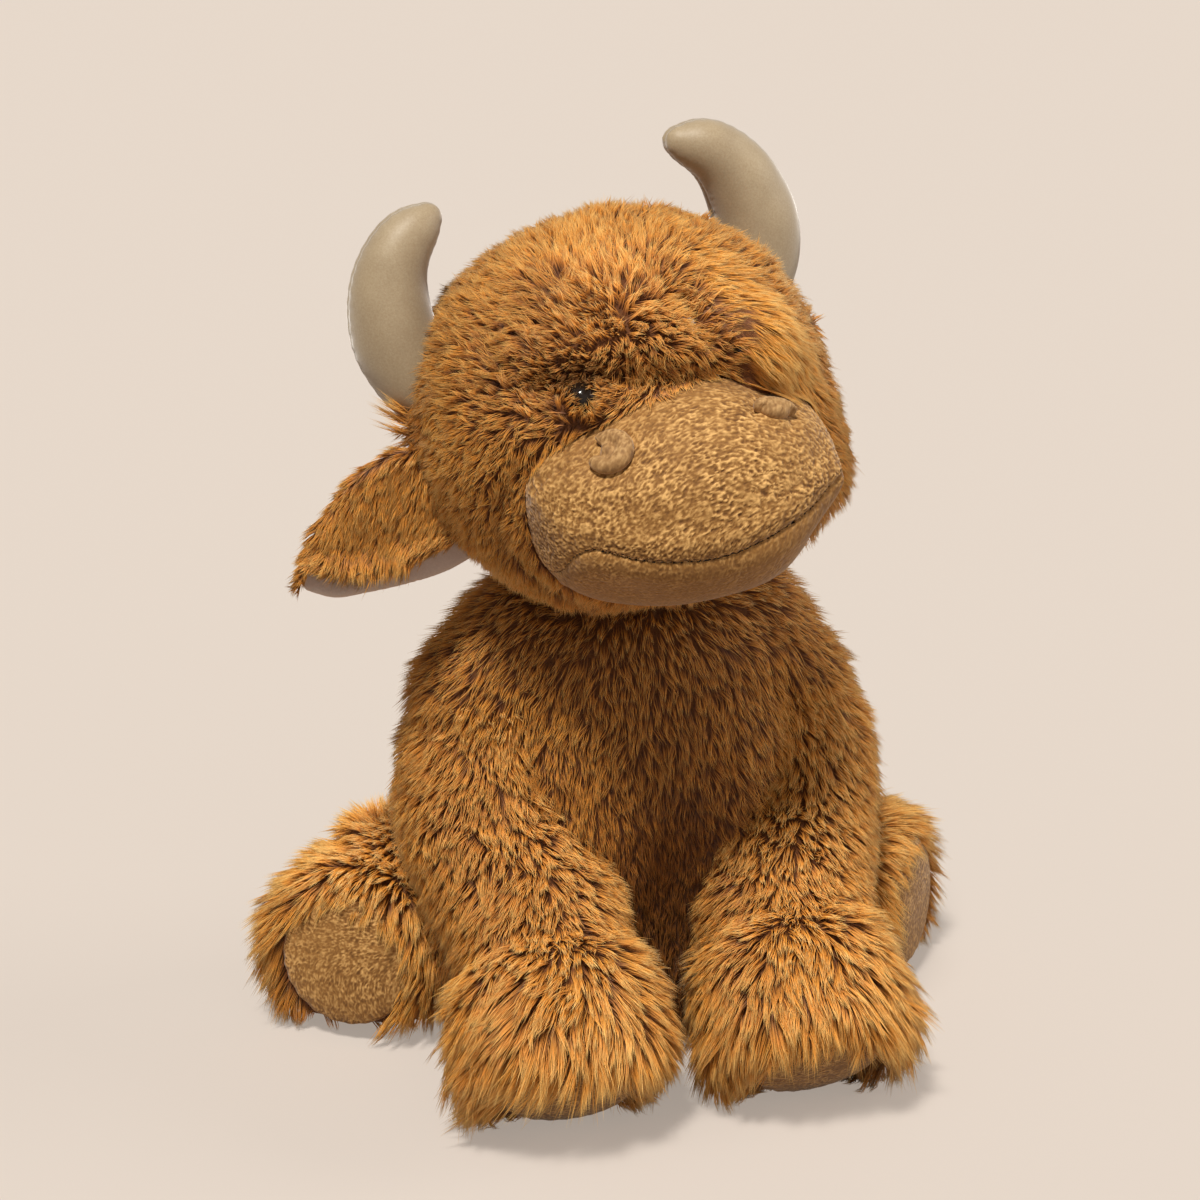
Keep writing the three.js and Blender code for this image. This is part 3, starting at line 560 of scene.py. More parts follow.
# For cloth: dark and light, how fine the mottle is, roughness, sheen, depth of relief, stretch and gloss
LOOKS = {
    # Pile colours at root, middle and tip: the dark root is painted shade, the light tip partly painted
    # highlight
    "long_pile": (pile_material, (0.16, 0.047, 0.008), (0.80, 0.325, 0.045), (1.0, 0.65, 0.22)),
    # The backing is as dark as the roots of the pile: painted shade where it shows between the strands
    "backing": (cloth_material, (0.08, 0.026, 0.006), (0.17, 0.06, 0.013), 900, 0.9, 0, 0.4 * MM),
    # Velour colours in the hollows, on the slopes and on the ridges: painted shade and painted highlight on
    # the nap
    "short_pile": (velour_material, (0.13, 0.052, 0.011), (0.325, 0.156, 0.04), (0.86, 0.52, 0.195)),
    "nostril_pile": (velour_material, (0.18, 0.087, 0.028), (0.40, 0.225, 0.088), (0.74, 0.48, 0.22)),
    "ivory_cloth": (cloth_material, (0.35, 0.265, 0.162), (0.42, 0.335, 0.22), 1600, 0.5, 1.0, 0.05 * MM),
    "lining_cloth": (cloth_material, (0.62, 0.49, 0.425), (0.70, 0.57, 0.505), 1500, 0.45, 0.3, 0.06 * MM),
    "wadding": (cloth_material, (0.70, 0.69, 0.66), (0.86, 0.85, 0.83), 500, 1.0, 0.2, 0.8 * MM),
    "pouch_cloth": (cloth_material, (0.52, 0.47, 0.40), (0.66, 0.61, 0.53), 2000, 0.9, 0, 0.15 * MM),
    "thread": (cloth_material, (0.26, 0.13, 0.045), (0.42, 0.225, 0.085), 2600, 0.8, 0.2, 0.1 * MM,
               (1, 1, 0.4)),
    "washer_plastic": (cloth_material, (0.70, 0.70, 0.69), (0.74, 0.74, 0.73), 300, 0.45, 0, 0.01 * MM),
    "bead_gloss": (cloth_material, (0.006, 0.0035, 0.0025), (0.016, 0.009, 0.006), 60, 0.1, 0, 0.002 * MM,
                   (1, 1, 1), 0.2),
}
MATERIALS = {name: maker(name, *looks) for name, (maker, *looks) in LOOKS.items()}


def dressed(obj, slot, body, *nodes, material=None, fill=None):
    """Gives a piece the material of its slot, or the one named, puts it on the body that it rides on and
    hides the CAD nodes that it stands for.
    """
    obj.data.materials.clear()
    obj.data.materials.append(MATERIALS[material or slot])
    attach(obj, body)
    if nodes:
        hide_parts(*nodes)


# The pile: closed strands rooted on a hide, gathered into locks and the locks into tufts
MOST_TRIANGLES = 198_000
SIDES_OF_STRAND = 3
# How far a strand's own tone reaches across the ramp of tones
TONE_WIDTH = 0.02
LOCKS_PER_TUFT = 4
# How much flatter a lock lies at its end than at its root, and how far a strand strays from its lock
RELAX = 0.75
STRAY = 0.45 * MM


def scattered(hide, count, rng):
    """Random points of a hide with their normals, evenly over its area."""
    points, normals, corners = points_of(hide), normals_of(hide), triangles_of(hide)
    a, b, c = (points[corners[:, i]] for i in range(3))
    area = np.linalg.norm(np.cross(b - a, c - a), axis=1)
    picked = rng.choice(len(corners), count, p=area / area.sum())
    r, s = rng.random(count), rng.random(count)
    root = np.sqrt(r)
    weights = np.stack([1 - root, root * (1 - s), root * s], axis=1)[:, :, None]
    at = (points[corners[picked]] * weights).sum(axis=1)
    return at, unit((normals[corners[picked]] * weights).sum(axis=1))


def one_in(count, points):
    """Keeps every second, third or later of a row of points in random order."""
    return np.arange(len(points)) % count == 0


def nearest(points, among):
    tree = KDTree(len(among))
    for i, point in enumerate(among):
        tree.insert(point, i)
    tree.balance()
    return np.array([tree.find(point)[1] for point in points])


def strand_mesh(name, lines, normals, radii, tones):
    """One mesh of tapered three-sided strands. lines is strands x stations x 3."""
    count, stations = lines.shape[:2]
    rings = stations - 1
    along = unit(np.gradient(lines, axis=1))
    side = unit(np.cross(along, normals[:, None, :] + 1e-4))
    other = np.cross(along, side)
    taper = 1 - 0.85 * (np.arange(rings) / rings) ** 1.6
    angle = circle(SIDES_OF_STRAND)[:, None]
    out = np.cos(angle) * side[:, :rings, None, :] + np.sin(angle) * other[:, :rings, None, :]
    ring_points = lines[:, :rings, None, :] + out * (radii[:, None] * taper)[:, :, None, None]
    per_strand = rings * SIDES_OF_STRAND + 1
    points = np.concatenate([ring_points.reshape(count, -1, 3), lines[:, -1:, :]], axis=1)
    ring_normals = unit(0.6 * out + 0.4 * normals[:, None, None, :])
    tip_normals = unit(along[:, -1:, :] + normals[:, None, :])
    soft = np.concatenate([ring_normals.reshape(count, -1, 3), tip_normals], axis=1)
    corners, sizes, uv = [], [], []
    for k in range(SIDES_OF_STRAND):
        n = (k + 1) % SIDES_OF_STRAND
        u, w = k / SIDES_OF_STRAND, (k + 1) / SIDES_OF_STRAND
        for i in range(rings - 1):
            low, high = i * SIDES_OF_STRAND, (i + 1) * SIDES_OF_STRAND
            corners += [low + k, low + n, high + n, high + k]
            uv += [(u, i / rings), (w, i / rings), (w, (i + 1) / rings), (u, (i + 1) / rings)]
            sizes.append(4)
        last = (rings - 1) * SIDES_OF_STRAND
        corners += [last + k, last + n, per_strand - 1]
        uv += [(u, (rings - 1) / rings), (w, (rings - 1) / rings), ((u + w) / 2, 1)]
        sizes.append(3)
    corners += [2, 1, 0]
    uv += [(0, 0), (0.5, 0.02), (1, 0)]
    sizes.append(3)
    corners = (np.array(corners)[None, :] + per_strand * np.arange(count)[:, None]).ravel()
    starts = np.concatenate([[0], np.cumsum(np.tile(sizes, count))[:-1]])
    uv = np.array(uv)
    columns = tones[:, None] * (1 - TONE_WIDTH) + uv[None, :, 0] * TONE_WIDTH
    uvs = np.stack([columns, np.broadcast_to(uv[None, :, 1], columns.shape)], axis=-1)
    mesh = bpy.data.meshes.new(name)
    mesh.vertices.add(count * per_strand)
    mesh.vertices.foreach_set("co", points.astype(np.float32).ravel())
    mesh.loops.add(len(corners))
    mesh.loops.foreach_set("vertex_index", corners.astype(np.int32))
    mesh.polygons.add(len(starts))
    mesh.polygons.foreach_set("loop_start", starts.astype(np.int32))
    mesh.update(calc_edges=True)
    mesh.polygons.foreach_set("use_smooth", np.ones(len(starts), bool))
    layer = mesh.uv_layers.new(name="OFBake")
    layer.uv.foreach_set("vector", uvs.astype(np.float32).ravel())
    mesh.normals_split_custom_set_from_vertices(soft.reshape(-1, 3).astype(np.float32))
    return in_scene(name, mesh)


def above_floor(lines):
    """Keeps strands off the floor: what would reach below it lies just over it."""
    height = np.maximum(lines[..., 2], 0.6 * MM + 0.12 * np.abs(lines[..., 2]))
    return np.concatenate([lines[..., :2], height[..., None]], axis=-1)


def at(setting, points):
    """A setting of the pile at each point: one value all over, or a function of the place."""
    return setting(points) if callable(setting) else setting


def grow_pile(name, hide, body, order, *, count, length, lift, flow, tone=0, swing=1,
              grows=lambda p: np.ones(len(p), bool), turned=lambda p, normals: normals, clear=above_floor,
              segments=2, per_lock=7, radius=0.165 * MM, tousle=(0.2, 0.3, 0.2), ruffle=0.16, sag=0.08,
              gather=0.35, clump=0.6, wave=0.15 * MM):
    """Roots strands all over a hide where grows allows, and lays them in locks and tufts.

    flow is the way that the locks lie, lift how far they stand up, and tousle how they swing off their way,
    over a wide reach, a short one and one by one. order sorts the strands into pieces.
    """
    seed = PILE_SEEDS[name]
    rng = np.random.default_rng(seed)
    roots, normals = scattered(hide, int(count * (1)), rng)
    kept = grows(roots)
    roots, normals = roots[kept], turned(roots[kept], normals[kept])
    t = np.linspace(0, 1, segments + 1)[None, :, None]

    picked = rng.choice(len(roots), max(len(roots) // per_lock, 8), replace=False)
    centres, up, locks = roots[picked], normals[picked], len(picked)
    way = at(flow, centres)
    way = unit(way - (way * up).sum(axis=1, keepdims=True) * up)
    angle = (tousle[0] * noise(centres, 16 * MM, seed) + tousle[1] * noise(centres, 5 * MM, seed + 1)
             + tousle[2] * rng.normal(size=locks)) * at(swing, centres)
    way = way * np.cos(angle)[:, None] + np.cross(up, way) * np.sin(angle)[:, None]
    high = np.clip(at(lift, centres) + ruffle * noise(centres, 7 * MM, seed + 2)
                   + 0.07 * rng.normal(size=locks), 0.06, 0.97)[:, None]
    low = np.clip(high * RELAX, 0.04, 1)
    long = at(length, centres) * np.clip(1 + 0.22 * noise(centres, 6 * MM, seed + 3)
                                         + 0.12 * rng.normal(size=locks), 0.6, 1.22)
    start, end = unit(mixed(way, up, high)), unit(mixed(way, up, low) + (0, 0, -sag))
    bend = t**2 / 2
    guides = centres[:, None] + long[:, None, None] * (start[:, None] * (t - bend) + end[:, None] * bend)

    tufts = rng.choice(locks, max(locks // LOCKS_PER_TUFT, 4), replace=False)
    of_tuft = tufts[nearest(centres, centres[tufts])]
    pull = guides[of_tuft, -1] - guides[:, -1]
    reach = np.linalg.norm(pull, axis=1, keepdims=True)
    pull = pull * np.minimum(1, 0.5 * long[:, None] / np.maximum(reach, 1e-9))
    guides = guides + gather * pull[:, None] * t**2

    lock, strands = nearest(roots, centres), len(roots)
    scale = rng.uniform(0.72, 1.04, strands) * np.where(rng.random(strands) < 0.04, 1.15, 1)
    drawn = clump * rng.uniform(0.45, 1.3, locks)[lock] * rng.uniform(0.8, 1.1, strands)
    lines = (roots[:, None] + scale[:, None, None] * (guides[lock] - centres[lock][:, None])
             + (drawn[:, None, None] * t**1.3) * (centres[lock] - roots)[:, None])
    lines = lines + (rng.normal(size=(strands, 3)) * STRAY)[:, None] * t**1.5
    phase = rng.uniform(0, 2 * np.pi, locks)[lock][:, None, None]
    lines = clear(lines + wave * np.cross(up, way)[lock][:, None] * (np.sin(phase + 5 * t) - np.sin(phase)))

    tones = (0.55 + 0.14 * rng.normal(size=locks)[lock] + 0.13 * rng.normal(size=strands)
             + 0.1 * noise(roots, 22 * MM, seed + 4))
    tones = np.clip(tones + at(tone, roots), 0, 1)
    radii = radius * rng.uniform(0.75, 1.2, strands)

    pieces = math.ceil(strands / (MOST_TRIANGLES // (2 * SIDES_OF_STRAND * segments - 2)))
    for i, part in enumerate(np.array_split(np.argsort(order(roots), kind="stable"), pieces)):
        label = f"{name}_pile_{i + 1}" if pieces > 1 else f"{name}_pile"
        dressed(strand_mesh(label, lines[part], normals[part], radii[part], tones[part]), "long_pile", body)


# Forms
def torso_section(share):
    """The torso's half width and half depth at a share of its height, and how far it leans back there."""
    width, depth, lean = (follow(rows, share)
                          for rows in (TORSO_WIDTH_SHARES, TORSO_DEPTH_SHARES, TORSO_LEAN_SHARES))
    return TORSO[0] / 2 * width, TORSO[1] / 2 * depth, TORSO[1] / 2 * lean


def torso_form():
    station = (1 - np.cos(np.pi * np.arange(1, ROWS) / ROWS)) / 2
    exponent = np.where(station < 0.5, *TORSO_EXPONENTS)
    full = (1 - np.abs(2 * station - 1) ** exponent) ** (1 / exponent)
    angle = circle(AROUND)
    width, depth, lean = torso_section(station)
    rings = np.stack([
        (width * full)[:, None] * np.cos(angle),
        lean[:, None] + (depth * full)[:, None] * np.sin(angle),
        np.repeat((station * TORSO[2])[:, None], AROUND, axis=1),
    ], axis=-1)
    return stacked(rings, np.zeros(3), np.array([0, TORSO[1] / 2 * TORSO_LEAN_SHARES[-1][1], TORSO[2]]))


class Leg:
    """One leg's line, radii and foot, worked out from the torso's size."""

    def __init__(self, kind, side, sign):
        self.name = f"{kind}_leg_{side}"
        self.sign = sign
        self.front = kind == "front"
        mirrored = np.array([sign, 1, 1])
        if self.front:
            self.pivot = torso_place(SHOULDER_SHARES) * mirrored
            middle = [torso_place(shares) * mirrored for shares in FRONT_PATH_SHARES]
            self.end = torso_place((*FRONT_FOOT_SHARES, 0)) * mirrored + (0, 0, FRONT_FOOT_HEIGHT)
            self.facing = unit(np.array(FRONT_SOLE_FACING) * mirrored)
            self.sole_radius = FRONT_SOLE_RADIUS
        else:
            self.pivot = torso_place(HIP_SHARES) * mirrored
            middle = []
            self.end = torso_place((*HIND_FOOT_SHARES[side], 0)) + (0, 0, HIND_FOOT_HEIGHT)
            self.facing = unit(np.array(HIND_SOLE_FACING[side]))
            self.sole_radius = HIND_SOLE_RADIUS
        self.foot_middle = self.end - self.facing * FOOT_LENGTH / 2
        self.heel = self.end - self.facing * FOOT_LENGTH
        self.path = smooth_path([self.pivot, *middle, self.foot_middle], 24)

    def forms(self, grow):
        radii = LEG_RADIUS * follow(LEG_RADIUS_SHARES, np.linspace(0, 1, len(self.path))) + grow
        foot = smooth_path([self.heel, self.end], 16)
        foot_radii = FOOT_RADIUS * follow(FOOT_RADIUS_SHARES, np.linspace(0, 1, 16)) + grow
        forms = [tube(self.path, radii), tube(foot, foot_radii)]
        if not self.front:
            forms.append(tube(self.path + (0, 6 * MM, 9 * MM), radii + 2 * MM))
        return forms

    def raised(self, points, top):
        """How far each point lies in the low inner corner that the right front foot holds off the floor."""
        if self.name != "front_leg_right":
            return np.zeros(len(points))
        return ramped(points[:, 0] - self.end[0], 3, 13) * np.clip(2 * (1 - points[:, 2] / top), 0, 1)

    def off_sole(self, points):
        """How far each point lies from the sole's axis, and how far it lies beyond the sole's plane."""
        out = (points - self.end) @ self.facing
        across = np.linalg.norm(points - self.end - out[..., None] * self.facing, axis=-1)
        return across, out


def horn_path(sign):
    shares = np.array(HORN_PATH_SHARES)
    scale = np.array([sign * HORN_SPREAD / 2, HORN_HEIGHT, HORN_HEIGHT])
    return from_head(smooth_path(shares * scale + (0, 0, HORN_BASE), HORN_STEPS))


# Hides
def oval_value(local, half, exponent):
    """Below 1 inside an oval body about the origin, 1 on it and more beyond it."""
    return (np.abs(local / half) ** exponent).sum(axis=-1) ** (1 / exponent)


def clear_of_muzzle(lines):
    """Pushes strands off the muzzle, which they otherwise would pass through."""
    local = to_head(lines) - MUZZLE_CENTRE
    half = MUZZLE / 2 + 0.6 * MM + muzzle_press(to_head(lines))[..., None]
    value = oval_value(local, half, MUZZLE_EXPONENT)[..., None]
    return above_floor(from_head(np.where(value < 1, local / np.minimum(value, 1), local) + MUZZLE_CENTRE))


def muzzle_value(points, grow=0.0):
    return oval_value(to_head(points) - MUZZLE_CENTRE, MUZZLE / 2 + grow, MUZZLE_EXPONENT)


def beside_muzzle(local):
    """The crease between the cheek and the muzzle, on the cow's right, where the hide sinks and its pile is
    darkened as painted shade.
    """
    beyond = (muzzle_value(from_head(local)) - 1) * MUZZLE[0] / 2
    return ramped(-local[:, 0], 30, 42) * ramped(-local[:, 2], -8, 4) * bell(beyond - 6.5 * MM, 3 * MM)


BROW_FOLD = np.array([(-37, -49, 25), (-20, -57, 25), (-8, -60, 23), (6, -60, 19), (17, -60, 14)]) * MM
BROW_RIDGE = np.array([(-38, -44, 35), (-22, -53, 34), (-8, -57, 32), (6, -59, 28), (13, -59, 24)]) * MM
CREASE = np.array([(13, -50, 40), (17, -55, 31), (19, -59, 21), (20.5, -61, 11)]) * MM
WHORL = np.array([-8, -53, 39]) * MM
WHORL_REACH = 24 * MM
SEEN_EYE = np.array([-26.8, -57, 18.75]) * MM
HIDDEN_EYE = np.array([26.8, -57, 18.75]) * MM
HIDDEN_EYE_REACH = 9 * MM
# Round the eye that shows, the pile is left out at first and then leans in
BARE_EYE = 3.6 * MM
LID_RADIUS, LID_WIDTH = 5.6 * MM, 2.4 * MM
SIDE_TUFT = np.array([-65, 7, 13]) * MM
# Centre, rise and reach in millimetres, in the head's frame
HEAD_BULGES = (
    ((-27, -56, 20), 6, 10), ((27, -56, 20), 7.5, 10.5),
    ((-8, -46, 46), 3.5, 22), ((35, -49, 19), 6, 16), ((-50, -34, -4), 3, 22), ((-42, -48, 10), 3, 9),
    ((42, -34, 40), -4.5, 20), ((60, -30, 12), -5.5, 20), ((60, -24, -36), 10, 17), ((46, -30, -54), 9, 16),
)


def head_press(local):
    """How far the head swells or sinks at each point of its own frame."""
    total = bulged(local, HEAD_BULGES, -3.5 * MM * beside_muzzle(local))
    for line, rise, reach in ((BROW_FOLD, -6.5, 4.5), (BROW_RIDGE, 4.5, 6), (CREASE, -11, 5.5)):
        total = total + rise * MM * near(local, line, reach * MM)
    return total


def make_head():
    hide = remeshed("head_hide", [round_form(np.zeros(3), HEAD, HEAD_EXPONENT)], voxel=1.6 * MM, rounds=4)
    sculpted(hide, lambda p: 0.8 * MM * noise(p, 18 * MM, 3) + head_press(p))
    set_points(hide, from_head(points_of(hide)))
    dressed(hide, "long_pile", "head", "head_skin", material="backing", fill=0.8)
    horn_roots = [horn_path(sign)[:HORN_STEPS_IN_PILE] for _, sign in SIDES]
    down = DOWN @ HEAD_TURN

    def off_eye(local):
        """How far each place of the front lies from the eye that shows."""
        return np.linalg.norm((local - SEEN_EYE)[:, (0, 2)], axis=1) + 99 * MM * (local[:, 1] > 0)

    def lid(local):
        """1 round the rim of the eye that shows, where the pile leans in over the bead."""
        return bell(off_eye(local) - LID_RADIUS, LID_WIDTH)

    def tousled(local):
        """The part of the forehead on the cow's right where the pile stands up."""
        x, _, z = local.T
        return ramped(x, -8, -22) * ramped(x, -62, -52) * ramped(z, 8, 18) * ramped(z, 58, 46)

    def folded(local, split_reach):
        """1 in the brow fold and in the crease beside it."""
        return np.maximum(near(local, BROW_FOLD, 4 * MM), near(local, CREASE, split_reach))

    def by_part(rule):
        """Gives a rule the place in the head's frame, and how far it is band, temple, cheek or crown."""
        def value(points):
            local = to_head(points)
            x, y, z = local.T
            front = ramped(-y, 15, 45)
            fold = np.interp(x, BROW_FOLD[:, 0], BROW_FOLD[:, 2])
            band = front * ramped(fold - z, 0, 5) * ramped(x, -46, -34) * ramped(-x, -26, -18)
            temple = front * ramped(x, 19, 26) * ramped(z, -22, -2)
            cheek = ramped(-x, 30, 46) * ramped(-z, -26, -8)
            return rule(local, band, temple, cheek, ramped(y, -35, 10))
        return value

    def grows(points):
        local = to_head(points)
        free = muzzle_value(points, muzzle_press(local)[:, None] - MM) > 1
        free &= off_eye(local) > BARE_EYE
        for path in horn_roots:
            free &= distance_to_path(points, path)[0] > HORN_ROOT - 1.5 * MM
        return free & (np.linalg.norm(points - NECK, axis=1) > 19 * MM)

    def turned(points, normals):
        """Directions of a smooth head, so that strands don't cross each other in the folds."""
        return unit(0.35 * normals + 0.65 * (unit(to_head(points) / HEAD**2) @ HEAD_TURN.T))

    @by_part
    def flow(local, band, temple, cheek, crown):
        x, y, z = (values[:, None] for values in local.T)
        away = local - nearest_on(local, CREASE[0], CREASE[-1])
        beside = mixed(np.array([-0.3, 0, -0.9]), np.array([0.35, 0, -0.95]), ramped(x, 30, 46))
        way = unit(local - WHORL) + 0.9 * ramped(y, -20, 20) * down + 0.6 * ramped(-z, 0, 30) * down
        for share, direction in (
            (band, (-0.75, -0.2, -0.5)),
            (temple, mixed(np.array([0.4, 0, -0.8]), beside, ramped(-z, -22, 4))),
            (0.85 * bell(np.linalg.norm(away, axis=1), 8 * MM), unit(away) + 0.5 * down),
            (cheek, (-0.3, 0.1, -1)),
            (0.75 * tousled(local), (-0.55, 0, 0.6)),
            (0.9 * lid(local), unit((SEEN_EYE - local) * (1, 0, 1))),
            (bump(local, SIDE_TUFT, 8 * MM), (-0.8, 0, 0.75)),
        ):
            way = mixed(way, np.array(direction), share[:, None])
        return way @ HEAD_TURN.T

    @by_part
    def lift(local, band, temple, cheek, crown):
        eyes = 0.9 * lid(local) + bump(local, HIDDEN_EYE, HIDDEN_EYE_REACH)
        return (0.52 - 0.12 * band - 0.28 * temple + 0.24 * cheek - 0.1 * crown + 0.2 * eyes
                + 0.2 * bump(local, WHORL, WHORL_REACH) + 0.2 * tousled(local))

    @by_part
    def length(local, band, temple, cheek, crown):
        cover = bump(local, HIDDEN_EYE, HIDDEN_EYE_REACH)
        base = 8.2 - 1.6 * band + 2.2 * temple - 2.4 * cheek - crown + 13 * bump(local, SIDE_TUFT, 7 * MM)
        pressed = 1 - 0.4 * folded(local, 4 * MM) * (1 - cover)
        return (base * MM * pressed * (1 - 0.4 * near(local, CREASE, 5 * MM))
                + (5 * cover + 1.8 * lid(local)) * MM)

    @by_part
    def swing(local, band, temple, cheek, crown):
        wild = np.maximum(bump(local, WHORL, WHORL_REACH), 0.6 * tousled(local))
        return (1 - 0.65 * temple + 0.5 * cheek + 1.1 * wild) * (1 - 0.7 * lid(local))

    # Painted light and shade: the temple and the cheek are lightened as painted light, and the pile in the
    # brow fold, in the crease and beside the muzzle is darkened as painted shade; the tousled part is a
    # little darker
    @by_part
    def tone(local, band, temple, cheek, crown):
        return (0.32 * temple + 0.24 * cheek - 0.05 - 0.45 * folded(local, 5 * MM)
                - 0.3 * beside_muzzle(local) - 0.1 * tousled(local))

    grow_pile("head", hide, "head", lambda p: to_head(p)[:, 1], count=140_000, grows=grows, turned=turned,
              flow=flow, lift=lift, length=length, swing=swing, tone=tone, clear=clear_of_muzzle,
              tousle=(0.4, 0.6, 0.4), ruffle=0.26, clump=0.55)


SHOULDER_LINE = np.array([(35, -14, 148), (52, -12, 128)]) * MM
SHOULDER_RADIUS = 24 * MM
BELLY = np.array([0, -62, 50]) * MM
BELLY_PRESS = 17 * MM
LOW_SHOULDER = np.array([66, -8, 142]) * MM
LOW_SHOULDER_REACH = 24 * MM
# How near a leg's line hides the torso, and where a front leg leaves its shoulder
HIDDEN_BY_LEG = 0.86 * LEG_RADIUS
SHOULDER_STATION = 0.12


def between_legs(points):
    """How far a point lies in the hollow that the two front legs close off."""
    return bump(points * (1, 0.7, 0.5), BELLY * (1, 0.7, 0.5), 23 * MM)


def make_torso(legs):
    """The torso's hide swells over each shoulder, so that the leg below it hangs out of one slope."""
    shoulders = [lozenge(*(SHOULDER_LINE * (sign, 1, 1)), SHOULDER_RADIUS) for _, sign in SIDES]
    hide = remeshed("torso_hide", [torso_form(), *shoulders], voxel=2 * MM, rounds=8)
    sculpted(hide, lambda p: 0.7 * MM * noise(p, 25 * MM, 4) - BELLY_PRESS * between_legs(p)
             - 5 * MM * bump(p, LOW_SHOULDER, LOW_SHOULDER_REACH))
    set_points(hide, raised_to(points_of(hide), 0.3 * MM))
    dressed(hide, "long_pile", "torso", "torso_skin", material="backing", fill=0.8)

    def under_leg(points):
        """Where a leg hides the torso, until it lifts."""
        hidden = np.zeros(len(points), bool)
        for leg in legs:
            gap, station = distance_to_path(points, leg.path)
            hidden |= (gap < HIDDEN_BY_LEG) & ~(leg.front & (station < SHOULDER_STATION))
        return hidden

    def grows(points):
        under_head = (np.abs(to_head(points) / (HEAD / 2)) ** HEAD_EXPONENT).sum(axis=1) <= 0.92
        return (points[:, 2] > 3 * MM) & ~under_head & (~under_leg(points) | one_in(2, points))

    def flow(points):
        out = unit((points - (0, NECK[1], 0)) * (1, 1, 0))
        return DOWN + (0.2 + 0.9 * ramped(points[:, 2], 125, 160)[:, None]) * out

    def length(points):
        chest = ramped(-points[:, 1], 0, 50)
        return (10.5 - 3.2 * chest - 2 * between_legs(points)) * MM * np.where(under_leg(points), 0.65, 1)

    # Painted shade: the pile is darkened in the hollow between the front legs and on the chest below the head
    def tone(points):
        chest = bump(points * (0.7, 1, 0.5), np.array([4, -50, 58]) * MM, 30 * MM)
        return 0.03 - 1.3 * between_legs(points) - 0.14 * chest

    grow_pile("torso", hide, "torso", lambda p: np.arctan2(p[:, 0], p[:, 1]), count=92_000, grows=grows,
              flow=flow, length=length, lift=0.5, tone=tone, tousle=(0.22, 0.3, 0.2), ruffle=0.14, gather=0.3,
              per_lock=6)


# Where the pile parts on each foot, from its heel, and how much longer it is at the rim of the sole
PARTINGS = {
    "front_leg_left": ((-5, 0, 26), (0, -14, 20)), "front_leg_right": ((-3, 0, 14), (6.5, -27.5, 2.5)),
    "hind_leg_left": ((0, 0, 24), (0, -6, 24)), "hind_leg_right": ((-6, 6, 26), (-8, -20, 26)),
}
FRINGES = {"front_leg_left": -6, "front_leg_right": 5, "hind_leg_left": 0, "hind_leg_right": 0}
# Below a foot its hide is raised off the floor behind the sole: over what length, and how far
UNDERCUT = 26 * MM
UNDERCUT_RISE = 7.5 * MM
CORNER_RISE, CORNER_TOP = 9 * MM, 24 * MM


